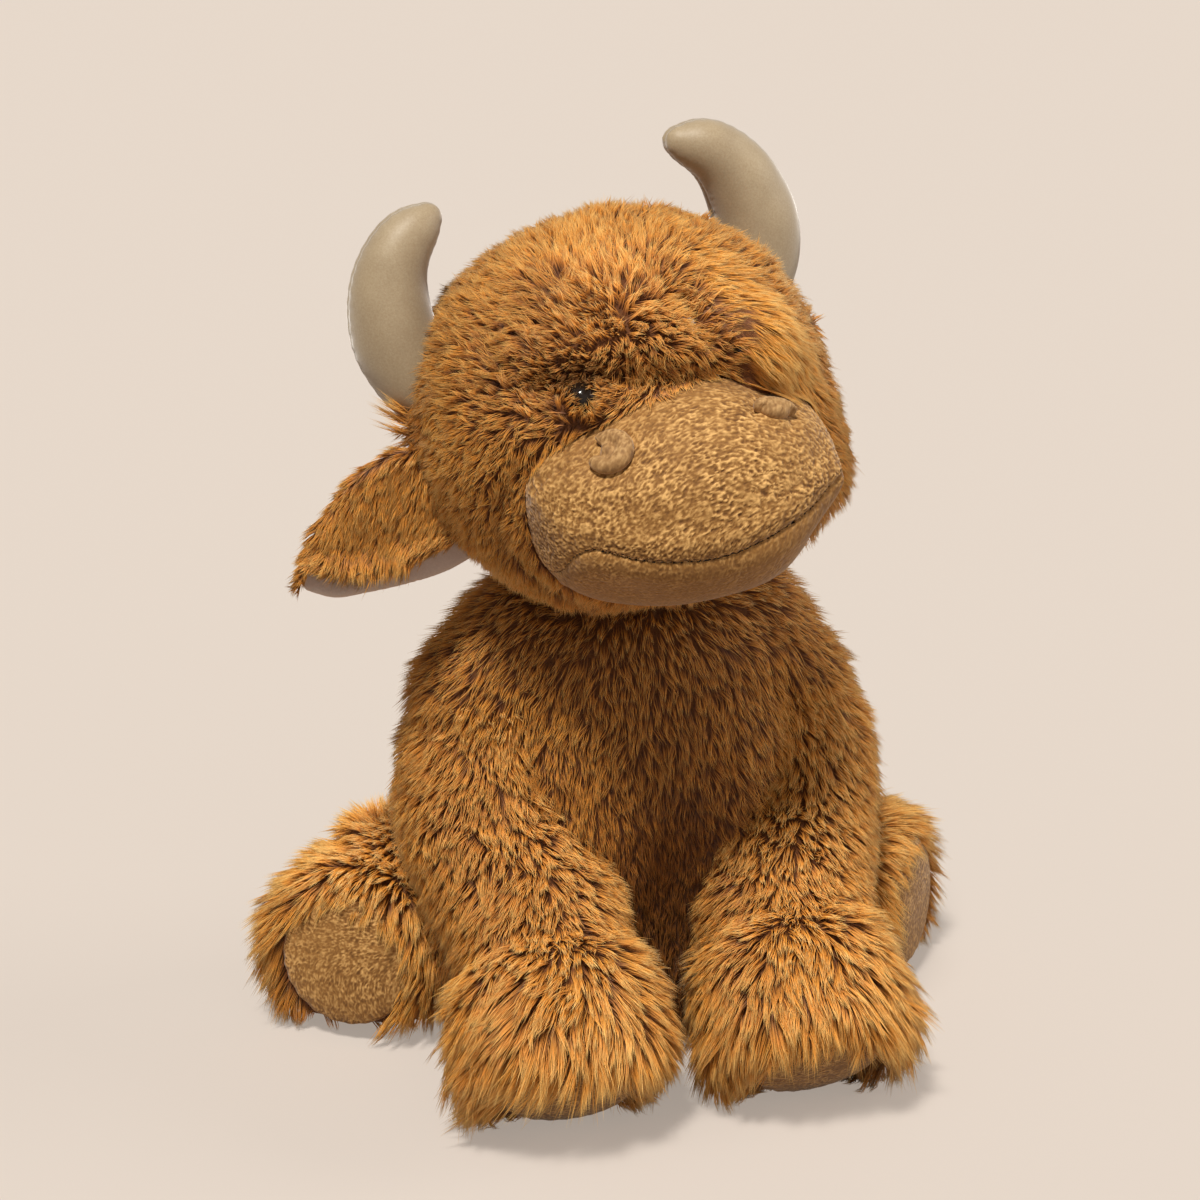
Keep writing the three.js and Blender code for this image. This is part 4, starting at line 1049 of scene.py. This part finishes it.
def make_leg(leg):
    hide = remeshed(f"{leg.name}_hide", leg.forms(1.5 * MM if leg.front else 0.0), voxel=1.8 * MM, rounds=8)
    sculpted(hide, lambda p: 0.8 * MM * noise(p, 20 * MM, PILE_SEEDS[leg.name] + 9))
    points = points_of(hide)
    _, out = leg.off_sole(points)
    if leg.front:
        undercut = CORNER_RISE * leg.raised(points, CORNER_TOP) * np.clip(1.2 + out / UNDERCUT, 0, 1)
    else:
        undercut = UNDERCUT_RISE * np.clip(1 + out / UNDERCUT, 0, 1)
    set_points(hide, raised_to(points, 0.2 * MM + undercut))
    dressed(hide, "long_pile", leg.name, f"{leg.name}_skin", material="backing", fill=0.7)
    parting = leg.heel + np.array(PARTINGS[leg.name]) * MM
    across_sole = unit(np.cross(UP, leg.facing))
    fringe = FRINGES[leg.name] * MM
    along_path = unit(np.gradient(leg.path, axis=0))
    stations = np.linspace(0, 1, len(leg.path))

    def near_foot(points, reach):
        _, out = leg.off_sole(points)
        return np.clip(1 + out / reach, 0, 1)

    def outward(points):
        return (points - leg.end) @ across_sole * leg.sign

    def pressed(points):
        """Where the foot rests on the floor, so that its pile lies flat."""
        across, out = leg.off_sole(points)
        if leg.front:
            return (points[:, 2] < 9 * MM) & ((across < leg.sole_radius + 4 * MM) | (points[:, 2] < 3.5 * MM))
        return (points[:, 2] < 11 * MM) & (out > -34 * MM) | (points[:, 2] < 0.6 * MM)

    def flat_where_pressed(flat):
        def changed(rule):
            def value(points):
                usual = rule(points)
                return np.where(pressed(points)[:, None] if usual.ndim > 1 else pressed(points), flat, usual)
            return value
        return changed

    def grows(points):
        across, out = leg.off_sole(points)
        free = (across >= leg.sole_radius - 0.5 * MM) | (out <= -8 * MM)
        free &= ~pressed(points) | one_in(3, points)
        if leg.front:
            free &= np.linalg.norm(points - leg.pivot, axis=1) > SHOULDER_RADIUS - 3 * MM
        width, depth, lean = torso_section(points[:, 2] / TORSO[2])
        inside = ((np.abs(points[:, 0]) / width) ** 2 + ((points[:, 1] - lean) / depth) ** 2) < 0.78
        return free & ~(inside & (points[:, 2] < TORSO[2] * 0.9))

    @flat_where_pressed(-leg.facing)
    def flow(points):
        spread = unit(points - nearest_on(points, *parting))
        if leg.front:
            _, station = distance_to_path(points, leg.path)
            along = between(along_path, stations, station)
            return mixed(0.5 * along + 0.6 * DOWN, 1.05 * spread + 0.25 * DOWN + 0.15 * leg.facing,
                         near_foot(points, 62 * MM)[:, None])
        outer = 0.15 * leg.facing + 0.9 * spread + 0.35 * DOWN
        inner = 0.6 * leg.facing + 0.3 * spread + 0.6 * DOWN + 0.3 * leg.sign * across_sole
        return mixed(outer, inner, ramped(-outward(points), 0, 10)[:, None])

    @flat_where_pressed(8 * MM)
    def length(points):
        foot, rim = near_foot(points, 45 * MM), near_foot(points, 12 * MM)
        outer = ramped(outward(points), 0, 20)
        if leg.front:
            long = (9 + 11.5 * foot) * MM + rim * fringe * (1 - 1.2 * outer)
            return long * (1 - 0.6 * leg.raised(points, 48 * MM) * near_foot(points, 44 * MM))
        return (11.5 + 3 * foot + foot * outer) * MM + rim * fringe

    @flat_where_pressed(0.1)
    def lift(points):
        if leg.front:
            return 0.6 - 0.26 * near_foot(points, 60 * MM)
        off_parting = np.linalg.norm(points - nearest_on(points, *parting), axis=1)
        return 0.42 + 0.35 * bell(off_parting, 18 * MM)

    def clear(lines):
        """Keeps strands out of the sole and off the floor."""
        across, out = leg.off_sole(lines)
        share = across / leg.sole_radius
        dome = (SOLE_EDGE + SOLE_CROWN) * np.sqrt(np.clip(1 - share**2, 0, 1)) + 0.8 * MM
        hidden = (across < leg.sole_radius) & (out > 0) & (out < dome)
        return above_floor(lines + np.where(hidden, dome - out, 0)[..., None] * leg.facing)

    # The pile is lightened towards each foot as painted light
    grow_pile(leg.name, hide, leg.name, lambda p: p[:, 2] if leg.front else (p - leg.pivot) @ leg.facing,
              count=58_000 if leg.front else 42_000, segments=3 if leg.front else 2, grows=grows, flow=flow,
              length=length, lift=lift, clear=clear, tone=lambda p: 0.06 + 0.18 * near_foot(p, 50 * MM),
              radius=0.185 * MM, tousle=(0.3, 0.35, 0.22), wave=0.3 * MM, sag=0.15, per_lock=9, clump=0.52)
    make_sole(leg)


def make_sole(leg):
    """A padded disc of velour, gathered into small puckers at its rim."""
    rows, around = 26, 96
    share = np.linspace(0, 1, rows + 1)[1:]
    angle = circle(around)
    side = unit(np.cross(leg.facing, UP))
    up = np.cross(side, leg.facing)
    radial = np.cos(angle)[:, None] * side + np.sin(angle)[:, None] * up
    gathers = np.sin(23 * angle + 1.3 * np.sin(3 * angle)) * (0.6 + 0.4 * np.sin(angle + 2))
    dome = SOLE_EDGE + SOLE_CROWN * np.sqrt(np.clip(1 - share**2, 0, 1))
    rings = []
    for reach, height in zip(share, dome):
        out = height + 0.35 * MM * reach**6 * gathers
        rings.append(leg.end + out[:, None] * leg.facing
                     + (reach * leg.sole_radius * (1 + 0.006 * reach**6 * gathers))[:, None] * radial)
    for reach, height in ((1.0, 0.6 * SOLE_EDGE), (0.97, SOLE_BACK)):
        rings.append(leg.end + height * leg.facing + reach * leg.sole_radius * radial)
    form = stacked(rings, leg.end + (SOLE_EDGE + SOLE_CROWN) * leg.facing, leg.end + SOLE_BACK * leg.facing)
    sole = remeshed(f"{leg.name}_velour", [form], voxel=0.7 * MM, rounds=2)
    refined(sole)
    velour(sole, depth=0.13 * MM, cell=0.6 * MM,
           lie=lambda p: 90 * np.clip(0.5 - (p - leg.end) @ up / (20 * MM), 0, 1))
    dressed(sole, "short_pile", leg.name, f"{leg.name}_sole", fill=0.6)


def velour(obj, depth, lie, cell=0.62 * MM, strong=lambda points: 0.75):
    """Presses short squiggly ridges of nap into a mesh.

    lie(points) is the angle that the ridges run at, in degrees, and strong(points) is how much they show.
    """
    points = points_of(obj)
    bent = points - points.mean(axis=0)
    bent = bent + 0.5 * MM * np.stack([noise(points, 3 * MM, 71 + i) for i in range(3)], axis=1)
    wanted = lie(points)
    step = 25
    pattern = np.zeros(len(points))
    for k in range(int(wanted.min() // step), int(wanted.max() // step) + 2):
        share = np.clip(1.25 - 1.5 * np.abs(wanted / step - k), 0, 1)
        here = share > 0
        angle = math.radians(k * step)
        run = bent[here, 0] * math.cos(angle) + bent[here, 2] * math.sin(angle)
        rise = -bent[here, 0] * math.sin(angle) + bent[here, 2] * math.cos(angle)
        flat = np.stack([run * 0.4, bent[here, 1] * 0.7, rise], axis=1)
        ridges = 1 - np.clip(1.6 * np.abs(noise(flat, cell, 81)), 0, 1)
        strokes = np.clip(0.5 + 0.9 * noise(flat + 50 * MM, cell * 0.8, 82), 0, 1)
        pattern[here] += share[here] * (0.45 * ridges + 0.55 * strokes)
    middle = 0.42
    nap = np.clip(middle + (pattern - middle) * strong(points) * (1 + 0.3 * noise(points, 9 * MM, 83)), 0, 1)
    set_points(obj, points + normals_of(obj) * (depth * (2 * nap - 1))[:, None])
    layer = obj.data.attributes.new("nap", "FLOAT", "POINT")
    layer.data.foreach_set("value", nap.astype(np.float32))


def mouth_height(x):
    share = (x - MUZZLE_CENTRE[0]) / (MUZZLE[0] / 2)
    return MUZZLE_CENTRE[2] + follow(MOUTH_SHARES, share) * MUZZLE[2] / 2


MUZZLE_PRESSES = (
    ((-34, -66, -46), -3.5, 15), ((34, -60, 11), -5, 16), ((36, -66, -46), -2.5, 13), ((12, -74, -52), 2, 16),
    ((50, -50, -20), -2, 14), ((42, -70, -26), 2.6, 5.5), ((-43, -56, -4), 4.5, 13),
)
# A short dart sewn from the right nostril to the muzzle's edge
DART_SHARES = [(-0.7, 0.62), (-0.82, 0.54), (-0.92, 0.4)]
# Where each nostril sits, in shares of the muzzle's half width and height
NOSTRIL_PLACES = {"left": (0.54, 0.6), "right": (-0.54, 0.68)}


def muzzle_press(local):
    """How far the muzzle swells or sinks at each point of the head's frame."""
    return bulged(local, MUZZLE_PRESSES)


def make_muzzle():
    """The upper panel and the lip, cut from one swollen form at the mouth seam."""
    form = round_form(MUZZLE_CENTRE, MUZZLE, MUZZLE_EXPONENT, -0.4 * MM)
    whole = refined(remeshed("muzzle_whole", [form], voxel=0.8 * MM, rounds=4))

    def height(points):
        x, y, z = points.T
        slope = (mouth_height(x + MM) - mouth_height(x - MM)) / (2 * MM)
        off = (z - mouth_height(x)) / np.sqrt(1 + slope**2)
        sewn = np.where(y < MUZZLE_CENTRE[1], np.clip((1.02 - np.abs(x / (MUZZLE[0] / 2))) / 0.2, 0.35, 1), 0)
        groove = -0.95 * MM * bell(off, 0.8 * MM)
        swell = 0.9 * MM * bell(np.abs(off) - 5 * MM, 4 * MM)
        puckers = 0.22 * MM * np.sin(x / (0.5 * MM)) * bell(off, 2.2 * MM)
        total = sewn * (groove + swell + puckers) + 0.6 * MM * noise(points, 24 * MM, 5)
        total = total + muzzle_press(points)
        dart, _ = front_of_muzzle(*np.array(DART_SHARES).T)
        gap, station = distance_to_path(points, dart)
        total = total + bell(gap, 1.1 * MM) * (0.25 * np.sin(44 * station) - 0.8) * MM
        for place in NOSTRIL_PLACES.values():
            centre, _ = front_of_muzzle(*place)
            total = total - MM * bell(np.linalg.norm(points - centre, axis=1) - 7.5 * MM, 2.4 * MM)
        return total

    def lie(points):
        return 15 + 75 * ramped(-points[:, 2], 22, 36) - 50 * ramped(points[:, 0], -10, 20)

    sculpted(whole, height)
    points = points_of(whole)
    behind = (np.abs(points / (HEAD / 2 - 3 * MM)) ** HEAD_EXPONENT).sum(axis=1) < 1
    above = points[:, 2] > mouth_height(points[:, 0])
    corners = np.array([tuple(p.vertices) for p in whole.data.polygons])
    for name, wanted, relief in (("muzzle_upper", above, 0.75), ("muzzle_lip", ~above, 0.15)):
        faces = corners[(wanted[corners].mean(axis=1) > 0.5) & ~behind[corners].all(axis=1)]
        used, index = np.unique(faces, return_inverse=True)
        panel = mesh_object(f"{name}_velour", points[used], index.reshape(faces.shape))
        velour(panel, depth=0.34 * MM, lie=lie,
               strong=lambda p: 0.35 + relief * np.exp(-((p[:, 2] + 14 * MM) / (25 * MM)) ** 4))
        set_points(shaded_smooth(panel), from_head(points_of(panel)))
        dressed(panel, "short_pile", "head", name, fill=0.8)
    surface = surface_of(whole)
    bpy.data.objects.remove(whole)
    make_mouth_thread()
    for side, _ in SIDES:
        make_nostril(side, surface)


def front_of_muzzle(x_share, z_share):
    """A point of the muzzle's front at shares of its half width and height, and its normal."""
    x_share, z_share = np.atleast_1d(x_share), np.atleast_1d(z_share)
    rest = 1 - np.abs(x_share) ** MUZZLE_EXPONENT - np.abs(z_share) ** MUZZLE_EXPONENT
    shares = np.stack([x_share, -np.maximum(rest, 0) ** (1 / MUZZLE_EXPONENT), z_share], axis=1)
    normal = unit(np.sign(shares) * np.abs(shares) ** (MUZZLE_EXPONENT - 1) / MUZZLE)
    return MUZZLE_CENTRE + shares * MUZZLE / 2, normal


def make_mouth_thread():
    """Short stitches along the mouth seam, each sunk at its ends."""
    share = np.linspace(-0.93, 0.86, 400)
    line, normal = front_of_muzzle(share, follow(MOUTH_SHARES, share))
    run = run_of(line)
    stitch, gap, steps = 1.9 * MM, 0.9 * MM, 7
    arch = np.sin(np.linspace(0, np.pi, steps))
    stitches = []
    for k in range(int(run[-1] / (stitch + gap))):
        place = k * (stitch + gap) + np.linspace(0, stitch, steps)
        path = between(line, run, place) + between(normal, run, place) * (arch[:, None] * 0.4 * MM - 1.3 * MM)
        stitches.append(tube(path, 0.3 * MM * (0.45 + 0.55 * arch), around=8))
    points, faces = joined(stitches)
    thread = shaded_smooth(mesh_object("mouth_stitches", from_head(points), faces))
    dressed(thread, "thread", "head", "mouth_thread")


NOSTRIL_ROLL = 2.9 * MM
# The way that the roll opens, its arc and its tilt in degrees; then its two half sizes, its inner lobe's
# length and how far it stands out, in millimetres
NOSTRIL_FORMS = {"right": (128, 285, 0, 5.2, 5.0, 5.0, 0.3), "left": (185, 190, -38, 5.8, 1.7, 10.0, 1.2)}


def make_nostril(side, surface):
    """A roll of velour bent into a C round a smaller inner lobe."""
    opens, arc, tilt, wide, high, lobe_length, proud = NOSTRIL_FORMS[side]
    place, _ = front_of_muzzle(*NOSTRIL_PLACES[side])
    centre, normal = (np.array(v) for v in surface.find_nearest(Vector(place[0]))[:2])
    centre = centre + proud * MM * normal
    tilt = math.radians(tilt)
    flat = unit(np.cross(UP, normal))
    level = flat * math.cos(tilt) + np.cross(normal, flat) * math.sin(tilt)
    up = np.cross(normal, level)
    steps = 34
    angle = np.radians(np.linspace(opens - arc, opens, steps))
    ring = wide * np.cos(angle)[:, None] * level + high * np.sin(angle)[:, None] * up
    path = centre + ring * MM
    radii = NOSTRIL_ROLL * (0.62 + 0.42 * np.sin(np.linspace(0.2, np.pi - 0.15, steps)))
    inner = np.linspace(-1, 1, 16)
    lobe = centre - 0.4 * MM * normal + inner[:, None] * 0.5 * lobe_length * MM * level
    lobe_radii = NOSTRIL_ROLL * np.sqrt(np.clip(1.06 - inner**2, 0.05, 1))
    forms = [tube(path, radii, around=20), tube(lobe, lobe_radii, around=16)]
    roll = remeshed(f"nostril_{side}_roll", forms, voxel=0.45 * MM, rounds=2)
    velour(roll, depth=0.17 * MM, cell=0.7 * MM, lie=lambda p: np.full(len(p), 60.0))
    set_points(roll, from_head(points_of(roll)))
    dressed(roll, "short_pile", "head", f"nostril_{side}", material="nostril_pile", fill=0.7)


def make_eyes():
    for side, _ in SIDES:
        name = f"eye_{side}"
        bead = remeshed(f"{name}_bead", [form_of(frame["nodes"][name])], voxel=0.4 * MM, rounds=6)
        dressed(bead, "bead_gloss", "head", name)


def make_horns():
    for side, sign in SIDES:
        path = horn_path(sign)
        radii = HORN_ROOT * follow(HORN_RADIUS_SHARES, np.linspace(0, 1, len(path)))
        path = np.vstack([path, path[-1] + unit(path[-1] - path[-2]) * HORN_ROOT * 0.16])
        radii = np.append(radii, radii[-1] * 0.45)
        horn = remeshed(f"horn_{side}_cloth", [tube(path, radii, around=48)], voxel=1.0 * MM, rounds=8)

        def height(points):
            """A seam along the inner and outer bend, with small puckers beside it."""
            gap, station = distance_to_path(points, path)
            stations = np.linspace(0, 1, len(path))
            middle = between(path, stations, station)
            step = np.clip((station * len(path)).astype(int), 0, len(path) - 1)
            plane = unit(np.cross(np.gradient(path, axis=0)[step], unit(middle - path.mean(axis=0))))
            off = np.abs((unit(points - middle) * plane).sum(axis=1)) * gap
            puckers = 0.12 * MM * np.sin(station * 150) * bell(off, 3.5 * MM)
            return -0.55 * MM * bell(off, 0.9 * MM) + puckers + 0.5 * MM * noise(points, 12 * MM, 17)

        sculpted(horn, height)
        dressed(refined(horn), "ivory_cloth", "head", f"horn_{side}_skin", fill=0.9)


def make_ear(side, sign):
    """A furry leaf over a smooth lining, which is wider and curls forward below it into a roll at the tip."""
    root = EAR_SHARES * HEAD / 2 * (sign, 1, 1)
    droop = math.radians(EAR_DROOP)
    outward = np.array([sign * math.cos(droop), 0, -math.sin(droop)])
    up = unit(np.array([sign * math.sin(droop), 0, math.cos(droop)]))
    opened = turn(Vector(up * sign), EAR_REST[side])
    back = np.array([0, 1.0, 0])
    high_rows = [(r[0], r[1]) for r in EAR_OUTLINE_SHARES]
    low_rows = [(r[0], r[2]) for r in EAR_OUTLINE_SHARES]

    def placed(points):
        return from_head((points - root) @ opened.T + root)

    def leaf(layer, thickness, trim, reach, rolled):
        """One layer of oval sections from root to tip, its lower edge trimmed and curled forward."""
        angle = circle(44)
        blunt = np.sign(np.sin(angle)) * np.abs(np.sin(angle)) ** 0.6
        rings = []
        for x in np.linspace(0, 1, 32) ** 0.9:
            high = follow(high_rows, x) * EAR_WIDTH
            low = min(follow(low_rows, x) * EAR_WIDTH + trim(x), high - 2 * MM)
            across = (high + low) / 2 + (high - low) / 2 * np.cos(angle)
            below = np.clip((low + EAR_CURL - across) / EAR_CURL, 0, 1)
            fat = 1 + rolled * below * np.exp(-((x - 0.84) / 0.14) ** 2) + 0.35 * rolled * below
            thick = thickness * (0.35 + 0.65 * math.sqrt(max(1 - x**4, 0)))
            curl = EAR_THICKNESS * (0.25 if rolled else 0.5) * below**2
            rings.append(root + x * reach * outward + across[:, None] * up
                         + (layer + thick * fat / 2 * blunt - curl)[:, None] * back)
        points, faces = stacked(rings, rings[0].mean(axis=0), rings[-1].mean(axis=0))
        return placed(points), faces

    outer_thickness = EAR_THICKNESS - LINING_THICKNESS

    def outer_trim(x):
        return (8 + 6 * x) * MM

    body = f"ear_{side}"
    outer_leaf = leaf(-outer_thickness / 2, outer_thickness, outer_trim, EAR_LENGTH, 0)
    outer = remeshed(f"{body}_hide", [outer_leaf], voxel=0.9 * MM, rounds=5)
    dressed(outer, "long_pile", body, f"{body}_outer", material="backing", fill=0.4)
    inner_leaf = leaf(LINING_THICKNESS / 2 + 0.3 * MM, LINING_THICKNESS, lambda x: -MM, EAR_LENGTH * 0.97,
                      1.6)
    lining = remeshed(f"{body}_velour", [inner_leaf], voxel=0.55 * MM, rounds=12)
    dressed(lining, "lining_cloth", body, f"{body}_lining", fill=0.3)
    ways = unit(placed(np.array([root + outward, root + up, root - back])) - placed(root[None]))
    out_world, up_world, front_world = ways
    origin = placed(root[None])[0]
    surface = surface_of(lining)

    def grows(points):
        gaps = np.array([surface.find_nearest(Vector(p))[3] for p in points])
        return (gaps > 1.2 * MM) | ((points - origin) @ front_world > 1.5 * MM)

    def edge_nearness(points):
        """1 at the leaf's lower edge, 0 from some way above it."""
        x = np.clip((points - origin) @ out_world / EAR_LENGTH, 0, 1)
        low = follow(low_rows, x) * EAR_WIDTH + outer_trim(x)
        return np.clip(1 - ((points - origin) @ up_world - low) / (10 * MM), 0, 1)

    def draped(points):
        """1 along the part of the lower edge where the pile hangs over the lining."""
        x = (points - origin) @ out_world / EAR_LENGTH
        return edge_nearness(points) * np.exp(-((x - 0.5) / 0.24) ** 4)

    def flow(points):
        drape = draped(points)[:, None]
        edge = edge_nearness(points)[:, None] - drape
        return out_world * (0.7 + 0.5 * edge) + up_world * (-0.5 + 0.45 * edge - 0.5 * drape)

    def length(points):
        return (8 - 3.5 * edge_nearness(points) + 7 * draped(points)) * MM

    grow_pile(body, outer, body, lambda p: p @ out_world, count=16_000, grows=grows, flow=flow,
              length=length, lift=0.3, radius=0.18 * MM)


def make_tail():
    """The tail and its tuft, each a thin hide with its own coat."""
    coats = []
    for name, shares, radii, fill, changes in (
        ("tail", TAIL_PATH_SHARES, np.full(20, TAIL_RADIUS * 0.9), 0.8, {"count": 5_000, "length": 8 * MM}),
        ("tail_tuft", TUFT_PATH_SHARES, TUFT_RADIUS * follow(TUFT_RADIUS_SHARES, np.linspace(0, 1, 16)), 0.6,
         {"count": 6_000, "length": 11 * MM, "segments": 4, "wave": 0.4 * MM}),
    ):
        path = smooth_path([torso_place(place) for place in shares], len(radii))
        hide = remeshed(f"{name}_hide", [tube(path, radii)], voxel=0.9 * MM, rounds=4)
        dressed(hide, "long_pile", "tail", name, material="backing", fill=fill)
        coats.append((name, hide, {"flow": unit(path[-1] - path[0]), **changes}))
    for name, hide, changes in coats:
        grow_pile(name, hide, "tail", lambda p: p[:, 1], lift=0.3, tousle=(0.35, 0.35, 0.25), gather=0.3,
                  **changes)


# What the name of each hidden solid has in it, and that solid's slot, voxel and depth of lumps
INNER_KINDS = (
    ("stuffing", "wadding", 2.4 * MM, 0.9 * MM), ("pouch", "pouch_cloth", 2.4 * MM, 0.5 * MM),
    ("eye_washer", "washer_plastic", 0.5 * MM, 0.0), ("neck_gather", "long_pile", 1.2 * MM, 0.6 * MM),
    ("seat_panel", "long_pile", 1.2 * MM, 0.6 * MM),
)
# The stuffing sinks with the hide above it
INNER_PRESSES = {
    "torso_stuffing": lambda p: (-BELLY_PRESS * between_legs(p)
                                 - 6 * MM * bump(p, LOW_SHOULDER, LOW_SHOULDER_REACH)),
    "head_stuffing": lambda p: 1.4 * np.minimum(head_press(to_head(p)), 0),
    "muzzle_stuffing": lambda p: np.minimum(muzzle_press(to_head(p)), 0),
}


def make_inside():
    """The wadding, pouch, neck and washers that the cow holds inside, each rounded from its solid."""
    for name, solid in frame["nodes"].items():
        for part, slot, voxel, depth in INNER_KINDS:
            if part not in name:
                continue
            piece = remeshed(f"{name}_inner", [form_of(solid)], voxel=voxel, rounds=3)
            sculpted(piece, lambda p: -depth * (0.6 + 0.5 * noise(p, 5 * MM, 7)))
            if name in INNER_PRESSES:
                sculpted(piece, INNER_PRESSES[name])
            if name == "seat_panel":
                set_points(piece, raised_to(points_of(piece), 0))
            dressed(piece, slot, solid["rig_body"], name, material="backing" if slot == "long_pile" else slot,
                    fill=None if slot == "washer_plastic" else 0.7)


# The studio
def seen_directly(tree):
    """1 for the rays that see a surface itself, in view or in gloss, and 0 for those that carry its light."""
    rays = node(tree, "ShaderNodeLightPath")
    total = rays.outputs["Is Camera Ray"]
    for kind in ("Is Glossy Ray", "Is Transmission Ray"):
        either = node(tree, "ShaderNodeMath", operation="MAXIMUM")
        tree.links.new(total, either.inputs[0])
        tree.links.new(rays.outputs[kind], either.inputs[1])
        total = either.outputs[0]
    return total


def make_studio():
    material, tree, shader = principled("floor", Roughness=0.95, Specular_IOR_Level=0.0)
    colour = node(tree, "ShaderNodeMix", data_type="RGBA", Factor=seen_directly(tree),
                  A=(0.30, 0.24, 0.19, 1), B=(0.343, 0.313, 0.292, 1)).outputs["Result"]
    set_up(shader, Base_Color=colour, Emission_Color=(0.352, 0.302, 0.26, 1),
           Emission_Strength=seen_directly(tree))
    corners = np.array([(-1, -1, 0), (1, -1, 0), (1, 1, 0), (-1, 1, 0)]) * FLOOR_SIZE / 2
    floor = mesh_object("floor", corners, [(0, 1, 2, 3)])
    floor.data.materials.append(material)
    world = bpy.data.worlds.new("studio")
    world.use_nodes = True
    bpy.context.scene.world = world
    tree = world.node_tree
    fill = set_up(tree.nodes["Background"], Color=(1.0, 0.97, 0.93, 1), Strength=0.2)
    seen = node(tree, "ShaderNodeBackground", Color=(0.79, 0.68, 0.58, 1), Strength=1.0)
    mix = node(tree, "ShaderNodeMixShader", Fac=seen_directly(tree))
    tree.links.new(fill.outputs[0], mix.inputs[1])
    tree.links.new(seen.outputs[0], mix.inputs[2])
    set_up(tree.nodes["World Output"], Surface=mix.outputs[0])
    for name, strength, spread, source in (
        ("key", 3.4, 10, (-0.28, -0.45, 1.0)),
        ("side", 0.8, 30, (1.0, -0.25, 0.5)),
        ("front", 0.28, 60, (0.1, -1.0, 0.4)),
    ):
        light = bpy.data.lights.new(name, "SUN")
        light.energy = strength
        light.angle = math.radians(spread)
        light.color = (1.0, 0.95, 0.87)
        in_scene(name, light).rotation_euler = Vector(source).to_track_quat("Z", "Y").to_euler()


def make_camera():
    azimuth, elevation = math.radians(VIEW_AZIMUTH), math.radians(VIEW_ELEVATION)
    back = np.array([math.sin(azimuth) * math.cos(elevation), -math.cos(azimuth) * math.cos(elevation),
                     math.sin(elevation)])
    right = np.array([math.cos(azimuth), math.sin(azimuth), 0])
    camera = in_scene("camera", bpy.data.cameras.new("camera"))
    camera.data.sensor_width = SENSOR
    camera.data.lens = VIEW_FOCAL_PIXELS / VIEW_PIXELS * SENSOR
    place = Matrix(np.column_stack([right, np.cross(back, right), back]).tolist()).to_4x4()
    place.translation = Vector(VIEW_TARGET + VIEW_DISTANCE * back)
    camera.matrix_world = place
    bpy.context.scene.camera = camera


make_camera()
make_studio()
bpy.context.scene.view_settings.view_transform = "Standard"
legs = [Leg(kind, side, sign) for kind in ("front", "hind") for side, sign in SIDES]
make_head()
make_muzzle()
make_eyes()
make_horns()
for side, sign in SIDES:
    make_ear(side, sign)
make_torso(legs)
for leg in legs:
    make_leg(leg)
make_tail()
make_inside()
